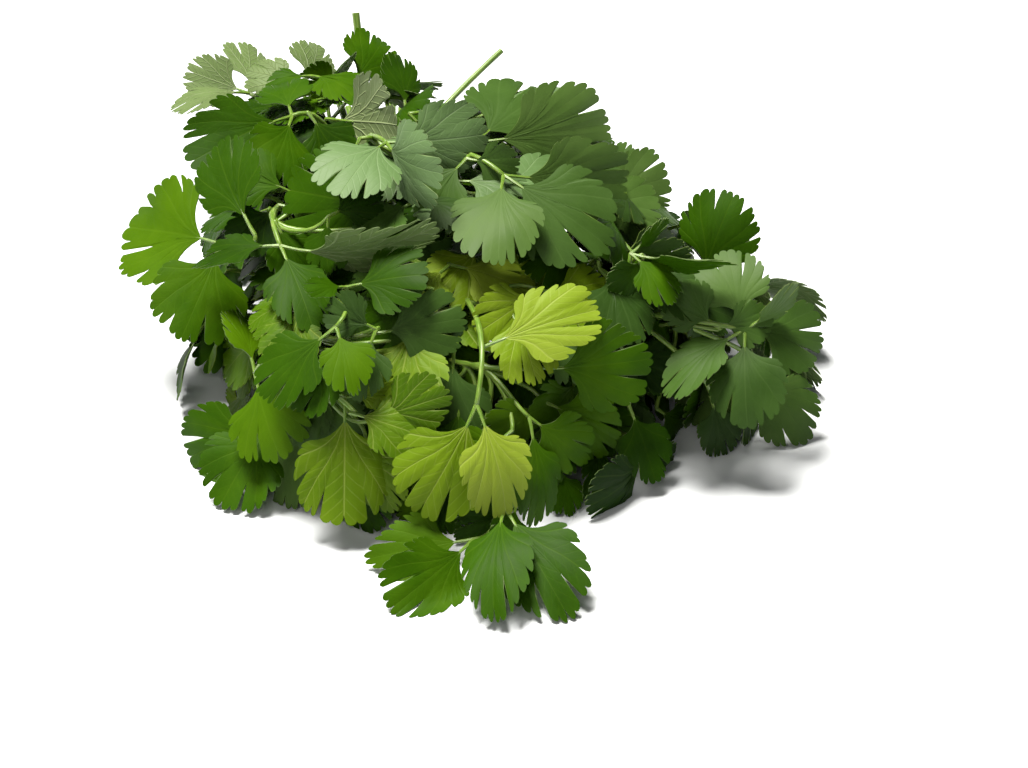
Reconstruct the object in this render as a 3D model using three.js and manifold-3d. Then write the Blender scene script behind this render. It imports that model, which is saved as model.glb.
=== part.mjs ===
import * as THREE from "three";
import Module from "manifold-3d";

// A bunch of fresh coriander, lying loose on its side. Millimetres, +Z up.
// The cut ends of the stems point back (+Y), the leaves heap up and spill forward (-Y).
// Each leafy stem is one solid: its main stem, its side stalks and its lobed leaflets.

const wasm = await Module();
wasm.setup();

// The whole bunch
const middle = [-13.65, 16.05]; // x, y of the middle of the bunch, which becomes the origin
const neck = { x: -45, y: 88, lift: 1.3, pitch: 4.5, rowRise: 3.9, perRow: 6 };
const bunchWay = new THREE.Vector3(0.234, -0.972, 0).normalize(); // from the neck into the leaves
const bunchSide = new THREE.Vector3(0.972, 0.234, 0).normalize();
const up = new THREE.Vector3(0, 0, 1);
const front = new THREE.Vector3(0, -0.81, 0.59); // the side that the heap is looked at from

// Stems
const stemRadius = { cut: 1.8, neck: 1.7, tip: 1.0 };
const stalkRadius = { root: 1.1, tip: 0.85 };
// The cut ends: how far behind the neck, how fanned out, and how high they lie
const cutEnds = { least: 36, most: 56, spread: 1.7, lift: 1.4, rise: 1.5 };
const stemSides = 5;
const stalkSides = 3;
const stemSteps = { behind: 2, ahead: 5 };
const stalkSteps = 3;
const jointPast = 1.4; // how far a stalk runs on past its joint, into the leaflets' bases

// Leaflets
const bladeThick = 0.8;
const greens = { usual: 0x4f7f1f, dark: 0x35651c, young: 0x8fb03a };
const petiolule = 0.17; // share of a leaflet's length that is its little stalk
const petioluleHalf = 0.5;
const fanHalf = THREE.MathUtils.degToRad(72);
const fanRound = 0.68; // the rim is cos(angle) to this power
const cleftDepths = { 5: [0.26, 0.44, 0.44, 0.26], 3: [0.4, 0.4] };
const toothShare = 0.1; // place of the outer teeth in a lobe
const notchDepth = 0.1;

// Room between neighbours
const bladeStep = 4.6;
const bladeRoom = 4.4;
const rimSpots = 10;
const bladeToStalk = 2.9;
const stalkRoom = 0.75;
const stalkStep = 3;
const siblingRoom = 3.4; // between leaflets of one leaf, beyond siblingFrom of their length
const siblingFrom = 0.42;
const tries = { shown: 60, filling: 30 };
const stayCost = 0.7; // per mm that a leaf is moved from its place
const slotSwaps = 500;

// The leafy stems whose leaves show best. A leaf is its joint and the tips of its leaflets:
// [x, y, z, turn about its midrib from facing the front in degrees, width to length].
// The first leaf ends the main stem, and the others stand on side stalks.
const shownStems = [
  { name: "crown_right", green: "dark", leaves: [
    { joint: [-3, -8, 80],
      tips: [[33, 2, 70, 8, 0.63], [25, -23, 66, -6, 0.84], [-6, -37, 69, 4, 0.79]] },
    { joint: [-12, 20, 70], tips: [[9, 48, 70, -15, 0.88], [26, 40, 64, 10, 0.66]] },
  ] },
  { name: "crown_middle", leaves: [
    { joint: [-34, 6, 80],
      tips: [[-8, 9, 84, 30, 0.75], [-16, -18, 80, 25, 0.75], [-38, -16, 77, 18, 0.84]] },
    { joint: [-58, 68, 52], tips: [[-38, 40, 66, 200, 0.70]] },
  ] },
  { name: "far_right", green: "dark", leaves: [
    { joint: [24, 32, 48],
      tips: [[46, 36, 52, 0, 0.88], [41, 12, 52, 12, 0.79], [34, 44, 60, -10, 0.79]] },
    { joint: [30, -4, 58], tips: [[54, -2, 58, 45, 0.62], [53, 8, 48, 20, 0.70]] },
  ] },
  { name: "pale_fans", green: "young", leaves: [
    { joint: [-8, -68, 46], tips: [[-24, -86, 15, 0, 0.84], [-4, -83, 18, -14, 0.66]] },
    { joint: [-8, -54, 53], tips: [[24, -44, 59, -12, 0.58]] },
  ] },
  { name: "bright_right", leaves: [
    { joint: [8, -50, 42], tips: [[38, -46, 41, 14, 0.84]] },
    { joint: [5, -60, 33], tips: [[5, -76, 8, -38, 0.55], [21, -60, 19, 0, 0.79]] },
  ] },
  { name: "dark_middle", green: "dark", leaves: [
    { joint: [-33, -42, 53], tips: [[-7, -38, 58, 12, 0.77]] },
    { joint: [-17, -46, 46], tips: [[-20, -62, 22, -8, 0.75]] },
  ] },
  { name: "left_joint", leaves: [
    { joint: [-67, -22, 65],
      tips: [[-22, -26, 76, 58, 0.48], [-91, -20, 58, 55, 0.53], [-57, -47, 55, -14, 0.62]] },
    { joint: [-34, -12, 73], tips: [[-67, 0, 75, -8, 0.88]] },
  ] },
  { name: "far_left", leaves: [
    { joint: [-86, -3, 53], tips: [[-114, 18, 46, 10, 0.92], [-96, -27, 37, -10, 0.88]] },
    { joint: [-75, -12, 62], tips: [[-86, 20, 73, -25, 0.62]] },
  ] },
  { name: "top_left", leaves: [
    { joint: [-68, 60, 58],
      tips: [[-73, 82, 56, 10, 0.75], [-75, 33, 52, -20, 0.70], [-98, 42, 53, 12, 0.70]] },
    { joint: [-66, 104, 42], tips: [[-62, 126, 46, 20, 0.79], [-85, 114, 42, 10, 0.70]] },
  ] },
  { name: "dark_left", leaves: [
    { joint: [-50, -38, 58], tips: [[-26, -38, 61, -22, 0.79], [-60, -46, 61, 50, 0.48]] },
    { joint: [-53, -46, 51], tips: [[-71, -57, 37, 12, 0.62], [-52, -63, 42, -8, 0.79]] },
  ] },
  { name: "yellow_left", leaves: [
    { joint: [-73, -46, 36], tips: [[-64, -66, 23, 22, 0.97], [-83, -28, 46, 50, 0.53]] },
    { joint: [-62, -48, 25], tips: [[-75, -62, 7, 0, 0.84], [-87, -42, 9, 12, 0.79]] },
  ] },
  { name: "round_front", green: "young", leaves: [
    { joint: [-48, -59, 40], tips: [[-48, -78, 10, -4, 0.77], [-34, -56, 43, 20, 0.70]] },
    { joint: [-40, -65, 34], tips: [[-20, -68, 43, 8, 0.79]] },
  ] },
  { name: "front_spill", leaves: [
    { joint: [-4, -84, 15], tips: [[12, -115, 3, -8, 0.66], [-6, -118, 4, 10, 0.53]] },
    { joint: [-12, -84, 8], tips: [[-40, -88, 5, 8, 0.66], [-34, -107, 1, -4, 0.70]] },
  ] },
  { name: "right_low", leaves: [
    { joint: [38, -27, 30], tips: [[46, -39, 12, 0, 0.79], [60, -34, 7, 12, 0.66]] },
    { joint: [32, -16, 56],
      tips: [[61, -18, 54, 62, 0.53], [46, -27, 44, -18, 0.70], [47, -15, 66, 60, 0.62]] },
  ] },
  { name: "right_cluster", leaves: [
    { joint: [66, -31, 42],
      tips: [[60, -12, 56, 0, 0.84], [66, -50, 24, 8, 0.81], [88, -24, 33, -10, 0.88],
        [44, -46, 31, 48, 0.53], [80, -26, 54, 62, 0.53]] },
    { joint: [70, -22, 22], tips: [[86, -30, 3, -6, 0.79], [50, -18, 5, 10, 0.66]] },
  ] },
  { name: "right_upright", leaves: [
    { joint: [55, -6, 42], tips: [[64, 3, 66, -8, 0.86]] },
  ] },
  { name: "back_left", leaves: [
    { joint: [-82, 100, 34],
      tips: [[-88, 122, 40, 20, 0.66], [-104, 106, 38, 15, 0.70], [-102, 82, 33, 50, 0.62]] },
  ] },
  { name: "back_middle", cut: [-51, 128, 55], leaves: [
    { joint: [-52, 96, 47], tips: [[-42, 118, 50, 14, 0.84], [-68, 88, 52, 170, 0.79]] },
  ] },
  { name: "back_right", cut: [-4, 133, 38], thick: 0.75, leaves: [
    { joint: [-34, 84, 44],
      tips: [[-38, 104, 54, 40, 0.62], [-8, 78, 46, 62, 0.53], [-30, 58, 56, 10, 0.79]] },
  ] },
  { name: "under_left", leaves: [
    { joint: [-78, 14, 22],
      tips: [[-104, 8, 6, 0, 0.79], [-98, -14, 10, 0, 0.79], [-96, 34, 10, 0, 0.79]] },
  ] },
  { name: "under_right", leaves: [
    { joint: [36, 22, 20], tips: [[64, 22, 6, 0, 0.79], [56, 0, 12, 0, 0.79], [50, 46, 12, 0, 0.79]] },
  ] },
  { name: "under_front", leaves: [
    { joint: [14, -30, 14],
      tips: [[34, -48, 3, 0, 0.75], [46, -28, 6, 0, 0.70], [10, -60, 4, 0, 0.75]] },
  ] },
];

// The rest fill the heap: leaves laid on two rounded heaps, one of leaves and one over the neck.
const heaps = [
  { x: -23, y: 6, wide: 82, long: 78, high: 76, leaves: 30 },
  { x: -48, y: 80, wide: 44, long: 40, high: 44, leaves: 10 },
];
const layers = [0.94, 0.7, 0.84]; // how deep in the heap each leaf's joint lies, in turn
const fillLength = { least: 24, most: 34 };
const fillSpread = [0, 58, -58]; // headings of a leaf's leaflets, in degrees
const fillReach = { least: 16, most: 60 }; // length of a side stalk, from joint to main stem

// One seeded stream of draws, so that the bunch is the same each time
const drawModulus = 2147483647;
let drawState = 20240185;
function draw(low, high) {
  drawState = (drawState * 48271) % drawModulus;
  return low + ((high - low) * drawState) / drawModulus;
}

const at = (place) => new THREE.Vector3(...place);
const mix = (a, b, share) => a + (b - a) * share;

// A leaflet's own axes: along its midrib, across it, and out of its upper face
function bladeAxes(base, tip, facing, turn) {
  const along = tip.clone().sub(base);
  const length = along.length();
  along.normalize();
  const face = facing.clone().addScaledVector(along, -facing.dot(along));
  if (face.length() < 0.15) face.copy(up).addScaledVector(along, -along.z);
  face.normalize().applyAxisAngle(along, THREE.MathUtils.degToRad(turn));
  return { along, length, face, across: face.clone().cross(along) };
}

function makeBlade(base, tip, facing, turn, width, lobes) {
  return {
    base,
    ...bladeAxes(base, tip, facing, turn),
    width,
    lobes,
    arch: draw(0.04, 0.13),
    cup: draw(-0.22, 0.1),
    ripple: draw(0.02, 0.05),
    phase: draw(0, 2 * Math.PI),
  };
}

// A point of a leaflet's middle surface: forward along the midrib and sideways, both in lengths
function bladePoint(blade, forward, sideways) {
  const { length, arch, cup, ripple, phase } = blade;
  const v = sideways * blade.width;
  const reach = forward * forward + v * v;
  const wave = ripple * reach * Math.sin(9 * v + 4 * forward + phase);
  const lift = arch * 4 * forward * (1 - forward) + cup * v * v * 2 + wave;
  return blade.base
    .clone()
    .addScaledVector(blade.along, forward * length)
    .addScaledVector(blade.across, v * length)
    .addScaledVector(blade.face, lift * length);
}

// The rim of a leaflet, from one side to the other: two teeth in each lobe, and a cleft between lobes.
// A leaflet of the filling has three lobes and no small notches.
function bladeRim(lobes) {
  const clefts = cleftDepths[lobes];
  const rim = [];
  const add = (angle, depth, kind) => {
    const r = (1 - petiolule) * Math.cos(angle) ** fanRound * (1 - depth);
    rim.push({ forward: petiolule + r * Math.cos(angle), sideways: r * Math.sin(angle), kind });
  };
  for (let lobe = 0; lobe < lobes; lobe++) {
    const from = mix(-fanHalf, fanHalf, lobe / lobes);
    const to = mix(-fanHalf, fanHalf, (lobe + 1) / lobes);
    add(mix(from, to, toothShare), 0, "tooth");
    if (lobes === 5 && lobe > 0 && lobe < 4) add(mix(from, to, 0.5), notchDepth, "notch");
    add(mix(from, to, 1 - toothShare), 0, "tooth");
    if (lobe < lobes - 1) add(to, clefts[lobe], "cleft");
  }
  return rim;
}

// Triangles of one face of a leaflet, as places in [base, base, petiolule, petiolule, ...rim]
function bladeFaces(rim) {
  const first = 4;
  const faces = [[0, 1, 2], [1, 3, 2]];
  const clefts = rim.map((p, i) => (p.kind === "cleft" ? i + first : -1)).filter((i) => i >= 0);
  const last = rim.length - 1 + first;
  const bounds = [2, ...clefts, 3];
  faces.push([2, 3, clefts[0]]);
  for (let i = 1; i < clefts.length; i++) faces.push([clefts[i - 1], 3, clefts[i]]);
  for (let lobe = 0; lobe < bounds.length - 1; lobe++) {
    const a = bounds[lobe];
    const b = bounds[lobe + 1];
    const from = lobe === 0 ? first : a + 1;
    const to = lobe === bounds.length - 2 ? last : b - 1;
    const inner = [];
    for (let i = from; i <= to; i++) inner.push(i);
    const middleOf = inner.length === 3 ? inner[1] : lobe === 0 ? inner[0] : inner[inner.length - 1];
    const chain = [a, ...inner, b];
    const split = chain.indexOf(middleOf);
    for (let i = 1; i < split; i++) faces.push([a, chain[i + 1], chain[i]]);
    faces.push([a, b, middleOf]);
    for (let i = split; i < chain.length - 2; i++) faces.push([b, chain[i + 1], chain[i]]);
  }
  return faces;
}

// A closed leaflet: its two faces are split alike, and the rim joins them
function bladeSolid(blade) {
  const rim = bladeRim(blade.lobes);
  const half = petioluleHalf / blade.length / blade.width;
  const outline = [
    { forward: 0, sideways: -half },
    { forward: 0, sideways: half },
    { forward: petiolule, sideways: -half },
    { forward: petiolule, sideways: half },
    ...rim,
  ];
  const count = outline.length;
  const vertices = new Float32Array(count * 6);
  outline.forEach(({ forward, sideways }, i) => {
    const centre = bladePoint(blade, forward, sideways);
    const upper = centre.clone().addScaledVector(blade.face, bladeThick / 2);
    const lower = centre.clone().addScaledVector(blade.face, -bladeThick / 2);
    const sunk = Math.min(0, upper.z, lower.z);
    upper.z -= sunk;
    lower.z -= sunk;
    upper.toArray(vertices, i * 3);
    lower.toArray(vertices, (i + count) * 3);
  });
  const edge = [0, 2, ...rim.map((_, i) => i + 4), 3, 1];
  const triangles = [];
  for (const [a, b, c] of bladeFaces(rim)) triangles.push(a, b, c, a + count, c + count, b + count);
  edge.forEach((a, i) => {
    const b = edge[(i + 1) % edge.length];
    triangles.push(a, b + count, a + count, a, b, b + count);
  });
  return solidOf(vertices, triangles);
}

function solidOf(vertProperties, triangles) {
  const made = (faces) =>
    new wasm.Manifold(new wasm.Mesh({ numProp: 3, vertProperties, triVerts: new Uint32Array(faces) }));
  const solid = made(triangles);
  if (solid.volume() > 0) return solid;
  const turned = [];
  for (let i = 0; i < triangles.length; i += 3) turned.push(triangles[i], triangles[i + 2], triangles[i + 1]);
  return made(turned);
}

// A closed tube through points, with a radius at each
function tubeSolid(points, radii, sides) {
  const rings = points.length;
  const vertices = new Float32Array((rings * sides + 2) * 3);
  const side = new THREE.Vector3();
  for (let i = 0; i < rings; i++) {
    const way = points[Math.min(i + 1, rings - 1)].clone().sub(points[Math.max(i - 1, 0)]).normalize();
    if (i === 0) side.copy(Math.abs(way.z) < 0.9 ? up : bunchSide);
    side.addScaledVector(way, -side.dot(way)).normalize();
    const other = way.clone().cross(side);
    for (let k = 0; k < sides; k++) {
      const angle = (2 * Math.PI * k) / sides;
      const p = points[i]
        .clone()
        .addScaledVector(side, radii[i] * Math.cos(angle))
        .addScaledVector(other, radii[i] * Math.sin(angle));
      p.z = Math.max(p.z, 0);
      p.toArray(vertices, (i * sides + k) * 3);
    }
  }
  const ends = [rings * sides, rings * sides + 1];
  points[0].toArray(vertices, ends[0] * 3);
  points[rings - 1].toArray(vertices, ends[1] * 3);
  const triangles = [];
  for (let k = 0; k < sides; k++) {
    const next = (k + 1) % sides;
    for (let i = 0; i < rings - 1; i++) {
      const [a, b] = [i * sides + k, i * sides + next];
      triangles.push(a, b, b + sides, a, b + sides, a + sides);
    }
    triangles.push(ends[0], next, k, ends[1], (rings - 1) * sides + k, (rings - 1) * sides + next);
  }
  return solidOf(vertices, triangles);
}

// Points and radii along a main stem: from its cut end through the neck to its last joint
function mainStem(atNeck, cutEnd, joint, heading, bow, thick) {
  const reach = joint.distanceTo(atNeck);
  const beforeNeck = atNeck.clone().addScaledVector(bunchWay, -18);
  const behind = new THREE.QuadraticBezierCurve3(cutEnd, beforeNeck, atNeck);
  const ahead = new THREE.CubicBezierCurve3(
    atNeck,
    atNeck.clone().addScaledVector(bunchWay, 0.35 * reach),
    joint.clone().addScaledVector(heading, -0.3 * reach).add(bow),
    joint,
  );
  return { behind, ahead, joint, thick };
}

function stemPath(stem, behindSteps, aheadSteps) {
  const points = [];
  const radii = [];
  for (let i = 0; i < behindSteps; i++) {
    points.push(stem.behind.getPoint(i / behindSteps));
    radii.push(stem.thick * mix(stemRadius.cut, stemRadius.neck, i / behindSteps));
  }
  for (let i = 0; i <= aheadSteps; i++) {
    points.push(stem.ahead.getPoint(i / aheadSteps));
    radii.push(stem.thick * mix(stemRadius.neck, stemRadius.tip, i / aheadSteps));
  }
  return finishPath(points, radii, stem.joint);
}

function stalkPath(stalk, steps) {
  const points = [];
  const radii = [];
  for (let i = 0; i <= steps; i++) {
    points.push(stalk.curve.getPoint(i / steps));
    radii.push(mix(stalkRadius.root, stalkRadius.tip, i / steps));
  }
  return finishPath(points, radii, stalk.joint);
}

// The last point runs on a little past the joint. Stems that lie on the surface are pressed flat on it.
function finishPath(points, radii, joint) {
  const [before, end] = points.slice(-2);
  end.addScaledVector(joint.clone().sub(before).normalize(), jointPast);
  points.forEach((p, i) => (p.z = Math.max(p.z, 0.75 * radii[i])));
  return { points, radii };
}

// A side stalk leaves the main stem along its own way and turns out to its joint
function sideStalk(stem, share, joint, heading, bow) {
  const root = stem.ahead.getPoint(share);
  const way = stem.ahead.getTangent(share);
  const reach = root.distanceTo(joint);
  const curve = new THREE.CubicBezierCurve3(
    root,
    root.clone().addScaledVector(way, 0.35 * reach),
    joint.clone().addScaledVector(heading, -0.35 * reach).add(bow),
    joint,
  );
  return { curve, joint };
}

// Places along a path or over a leaflet that are kept clear of the neighbours
function pathSpots(curves, owner, skip) {
  const spots = [];
  for (const { curve, thick } of curves) {
    const steps = Math.ceil(curve.getLength() / stalkStep);
    for (let i = 0; i <= steps; i++) {
      const share = i / steps;
      if (share < skip) continue;
      spots.push({ p: curve.getPoint(share), r: mix(thick[0], thick[1], share), stalk: true, owner });
    }
  }
  return spots;
}

function bladeSpots(blade, number, owner) {
  const spots = [];
  const step = bladeStep / blade.length;
  const wide = Math.ceil(0.62 / (step / blade.width));
  for (let forward = step; forward <= 0.97; forward += step)
    for (let k = -wide; k <= wide; k++) {
      const sideways = (k * step) / blade.width;
      const angle = Math.atan2(sideways, forward - petiolule);
      const rim = (1 - petiolule) * Math.cos(angle) ** fanRound;
      if (Math.abs(angle) > fanHalf || Math.hypot(sideways, forward - petiolule) > rim) continue;
      const out = Math.hypot(forward, sideways);
      spots.push({ p: bladePoint(blade, forward, sideways), r: 0, stalk: false, owner, number, out });
    }
  for (let k = 0; k <= rimSpots; k++) {
    const angle = mix(-fanHalf, fanHalf, (k + 0.5) / (rimSpots + 1));
    const r = 0.95 * (1 - petiolule) * Math.cos(angle) ** fanRound;
    const p = bladePoint(blade, petiolule + r * Math.cos(angle), r * Math.sin(angle));
    spots.push({ p, r: 0, stalk: false, owner, number, out: r });
  }
  return spots;
}

const taken = [];

function roomNeeded(a, b) {
  if (a.stalk && b.stalk) return a.r + b.r + stalkRoom;
  if (a.stalk || b.stalk) return a.r + b.r + bladeToStalk;
  return bladeRoom;
}

// How many spots of a leaf come too near what is already placed
function clashes(spots) {
  let found = 0;
  for (const a of spots) {
    if (a.p.z < -2.5) found++;
    for (const b of taken) {
      if (a.owner === b.owner && (a.stalk || b.stalk)) continue;
      const room = roomNeeded(a, b);
      const dx = a.p.x - b.p.x;
      const dy = a.p.y - b.p.y;
      const dz = a.p.z - b.p.z;
      if (dx * dx + dy * dy + dz * dz < room * room) {
        found++;
        break;
      }
    }
  }
  return found;
}

// How many spots of a leaf's own leaflets come too near one another
function siblingClashes(spots) {
  const outer = spots.filter((a) => !a.stalk && a.out > siblingFrom);
  let found = 0;
  for (const a of outer)
    if (outer.some((b) => b.number > a.number && a.p.distanceTo(b.p) < siblingRoom)) found++;
  return found;
}

// The mean way of a leaf's leaflets, which its stalk comes in along
function headingOf(joint, tips) {
  const sum = new THREE.Vector3();
  for (const tip of tips) sum.add(tip.clone().sub(joint).normalize());
  return sum.lengthSq() > 0.04 ? sum.normalize() : tips[0].clone().sub(joint).normalize();
}

// A leaf is moved and turned a little, further at each try, until it is clear of its neighbours.
// One of the filling does without the leaflets that find no room.
function settle(leaf, owner, attach) {
  let best = null;
  const most = leaf.filling ? tries.filling : tries.shown;
  for (let attempt = 0; attempt < most; attempt++) {
    const far = attempt === 0 ? 0 : 1 + (12 * attempt) / most;
    const shift = scatter(far, 0.8);
    const bow = scatter(far, 0.5);
    const joint = leaf.joint.clone().add(shift);
    const tips = leaf.tips.map((tip) => tip.place.clone().add(shift).add(scatter(0.5 * far, 1)));
    const turns = leaf.tips.map((tip) => tip.turn + draw(-far, far) * 2);
    joint.z = Math.max(joint.z, 2.2);
    tips.forEach((tip) => (tip.z = Math.max(tip.z, 0.6)));
    const heading = headingOf(joint, tips);
    const blades = tips.map((tip, i) =>
      makeBlade(joint, tip, leaf.facing, turns[i], leaf.tips[i].width, leaf.lobes));
    const carrier = attach(joint, heading, bow);
    const stalkSpots = pathSpots(carrier.curves, owner, carrier.skip);
    const leaflets = blades.map((blade, number) => {
      const spots = bladeSpots(blade, number, owner);
      return { blade, spots, found: clashes(spots) };
    });
    const kept = leaf.filling ? leaflets.filter((leaflet) => leaflet.found === 0) : leaflets;
    const dropped = leaflets.length - kept.length;
    const spots = [...stalkSpots, ...kept.flatMap((leaflet) => leaflet.spots)];
    let found = clashes(stalkSpots) + (kept.length === 0 ? 1 : 0);
    for (const leaflet of kept) found += leaflet.found;
    const crossed = siblingClashes(spots);
    const cost = 12 * found + 3 * dropped + 1.5 * crossed + stayCost * shift.length();
    if (best === null || cost < best.cost) {
      best = { cost, found, blades: kept.map((leaflet) => leaflet.blade), carrier, spots };
    }
    if (found + crossed + dropped === 0) break;
  }
  return best;
}

function scatter(far, upShare) {
  return new THREE.Vector3(draw(-far, far), draw(-far, far), draw(-far, far) * upShare);
}

// Places in the neck: rows on top of one another. Stems that end highest start in the top rows.
function neckSlots(leaves) {
  const centre = new THREE.Vector3(neck.x, neck.y, 0);
  const ways = leaves.map(({ joint }, index) => {
    const out = joint.clone().sub(centre);
    const forward = Math.max(30, out.dot(bunchWay));
    return { index, rise: out.z / forward, aside: out.dot(bunchSide) / forward };
  });
  ways.sort((a, b) => a.rise - b.rise);
  const slots = [];
  for (let row = 0; row * neck.perRow < ways.length; row++) {
    const inRow = ways.slice(row * neck.perRow, (row + 1) * neck.perRow);
    inRow.sort((a, b) => a.aside - b.aside);
    inRow.forEach(({ index }, column) => {
      const aside = (column - (inRow.length - 1) / 2 + (row % 2 ? 0.25 : -0.25)) * neck.pitch;
      const rise = neck.lift + row * neck.rowRise;
      const place = centre.clone().addScaledVector(bunchSide, aside).addScaledVector(up, rise);
      slots[index] = { aside, rise, place };
    });
  }
  return slots;
}

// Two stems change places in the neck wherever fewer stems cross for it
function untangle(slots, leaves, cuts) {
  const noBow = new THREE.Vector3();
  const lineOf = (index, slot) => {
    const { joint, tips } = leaves[index];
    const heading = headingOf(joint, tips.map((tip) => tip.place));
    const cutEnd = cutEndOf(slot, cuts[index]);
    const { behind, ahead } = mainStem(slot.place, cutEnd, joint, heading, noBow, 1);
    return [...behind.getPoints(10), ...ahead.getPoints(28)];
  };
  const near = 2 * stemRadius.neck + stalkRoom;
  const crossings = (line, skips, lines) => {
    let found = 0;
    lines.forEach((other, index) => {
      if (skips.includes(index)) return;
      for (const p of line) if (other.some((q) => p.distanceTo(q) < near)) found++;
    });
    return found;
  };
  const lines = slots.map((slot, index) => lineOf(index, slot));
  for (let swap = 0; swap < slotSwaps; swap++) {
    const i = Math.floor(draw(0, slots.length));
    const j = Math.floor(draw(0, slots.length));
    if (i === j) continue;
    const before = crossings(lines[i], [i], lines) + crossings(lines[j], [i, j], lines);
    if (before === 0) continue;
    const [newI, newJ] = [lineOf(i, slots[j]), lineOf(j, slots[i])];
    const changed = lines.slice();
    changed[i] = newI;
    changed[j] = newJ;
    const after = crossings(newI, [i], changed) + crossings(newJ, [i, j], changed);
    if (after >= before) continue;
    [slots[i], slots[j]] = [slots[j], slots[i]];
    [lines[i], lines[j]] = [newI, newJ];
  }
}

function cutEndOf(slot, { cut, length }) {
  if (cut) return at(cut);
  const end = slot.place.clone().addScaledVector(bunchWay, -length);
  end.addScaledVector(bunchSide, slot.aside * (cutEnds.spread - 1));
  end.z = cutEnds.lift + (slot.rise - neck.lift) * cutEnds.rise;
  return end;
}

function shownLeaf({ joint, tips }) {
  return {
    joint: at(joint),
    tips: tips.map(([x, y, z, turn, width]) => ({ place: at([x, y, z]), turn, width })),
    facing: front,
    lobes: 5,
  };
}

// A leaf of the filling: on a heap's rounded surface, pointing away from the neck and down the slope
function fillLeaf(heap, index) {
  const golden = 2.399963;
  const share = (index + 0.5) / heap.leaves;
  const round = index * golden;
  const low = Math.sqrt(1 - (1 - share) * (1 - share));
  const depth = layers[index % layers.length];
  const out = new THREE.Vector3(low * Math.cos(round), low * Math.sin(round), 1 - share * 0.94);
  const joint = new THREE.Vector3(
    heap.x + out.x * heap.wide * depth,
    heap.y + out.y * heap.long * depth,
    out.z * heap.high * depth,
  );
  const facing = new THREE.Vector3(out.x / heap.wide, out.y / heap.long, out.z / heap.high).normalize();
  const way = bunchWay.clone().multiplyScalar(0.5).add(new THREE.Vector3(out.x, out.y, -0.35 * low));
  way.addScaledVector(facing, 0.05 - way.dot(facing)).normalize();
  const tips = fillSpread.map((spread) => {
    const length = draw(fillLength.least, fillLength.most) * (spread === 0 ? 1.1 : 0.95);
    const angle = THREE.MathUtils.degToRad(spread + draw(-12, 12));
    const place = joint.clone().addScaledVector(way.clone().applyAxisAngle(facing, angle), length);
    place.addScaledVector(facing, spread === 0 ? 3 : -2);
    return { place, turn: draw(-14, 14), width: draw(0.72, 0.92) };
  });
  return { joint, tips, facing, lobes: 3, filling: true };
}

// Every leafy stem's main stem and first leaf, then the side leaves, then the filling
function growBunch() {
  const firstLeaves = shownStems.map((shown) => shownLeaf(shown.leaves[0]));
  const cuts = shownStems.map(({ cut }) => ({ cut, length: draw(cutEnds.least, cutEnds.most) }));
  const slots = neckSlots(firstLeaves);
  untangle(slots, firstLeaves, cuts);
  const stems = shownStems.map((shown, owner) => {
    const slot = slots[owner];
    const cutEnd = cutEndOf(slot, cuts[owner]);
    const thick = shown.thick ?? 1;
    const settled = settle(firstLeaves[owner], owner, (joint, heading, bow) => {
      const main = mainStem(slot.place, cutEnd, joint, heading, bow, thick);
      const curves = [
        { curve: main.behind, thick: [stemRadius.cut, stemRadius.neck] },
        { curve: main.ahead, thick: [stemRadius.neck, stemRadius.tip] },
      ];
      return { main, curves, skip: 0 };
    });
    taken.push(...settled.spots);
    const { name, green = "usual" } = shown;
    return { name, green, main: settled.carrier.main, stalks: [], blades: settled.blades };
  });
  shownStems.forEach((shown, owner) => {
    for (const leaf of shown.leaves.slice(1)) growSide(stems[owner], shownLeaf(leaf), owner, Infinity);
  });
  for (const heap of heaps) {
    for (let index = 0; index < heap.leaves; index++) {
      const leaf = fillLeaf(heap, index);
      const carrier = nearestStem(stems, leaf);
      if (carrier >= 0) growSide(stems[carrier], leaf, carrier, 0);
    }
  }
  return stems;
}

// A leaf of the filling that finds no room is left out
function growSide(stem, leaf, owner, mostLeft) {
  const share = branchShare(stem.main, leaf.joint);
  const settled = settle(leaf, owner, (joint, heading, bow) => {
    const stalk = sideStalk(stem.main, share, joint, heading, bow);
    const curves = [{ curve: stalk.curve, thick: [stalkRadius.root, stalkRadius.tip] }];
    return { stalk, curves, skip: 0.12 };
  });
  if (settled.found > mostLeft) return;
  taken.push(...settled.spots);
  stem.stalks.push(settled.carrier.stalk);
  stem.blades.push(...settled.blades);
}

// Where a side stalk leaves the main stem: a little nearer the neck than the joint is
function branchShare(main, joint) {
  let best = 0.1;
  let least = Infinity;
  for (let share = 0.1; share < 0.9; share += 0.05) {
    const p = main.ahead.getPoint(share);
    const back = joint.clone().sub(p);
    const cost = back.length() + 0.8 * Math.abs(back.dot(bunchWay) - 14);
    if (cost < least) [best, least] = [share, cost];
  }
  return best;
}

function nearestStem(stems, leaf) {
  let best = -1;
  let least = Infinity;
  stems.forEach((stem, index) => {
    const share = branchShare(stem.main, leaf.joint);
    const reach = stem.main.ahead.getPoint(share).distanceTo(leaf.joint);
    const cost = reach + 6 * stem.blades.length;
    if (reach > fillReach.least && reach < fillReach.most && cost < least) [best, least] = [index, cost];
  });
  return best;
}

// The nearest place on the straight stretches of a stem, where a stalk's root is sunk
function nearestOn(points, from) {
  let best = null;
  for (let i = 1; i < points.length; i++) {
    const stretch = new THREE.Line3(points[i - 1], points[i]);
    const p = stretch.closestPointToPoint(from, true, new THREE.Vector3());
    if (best === null || p.distanceTo(from) < best.distanceTo(from)) best = p;
  }
  return best;
}

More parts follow.
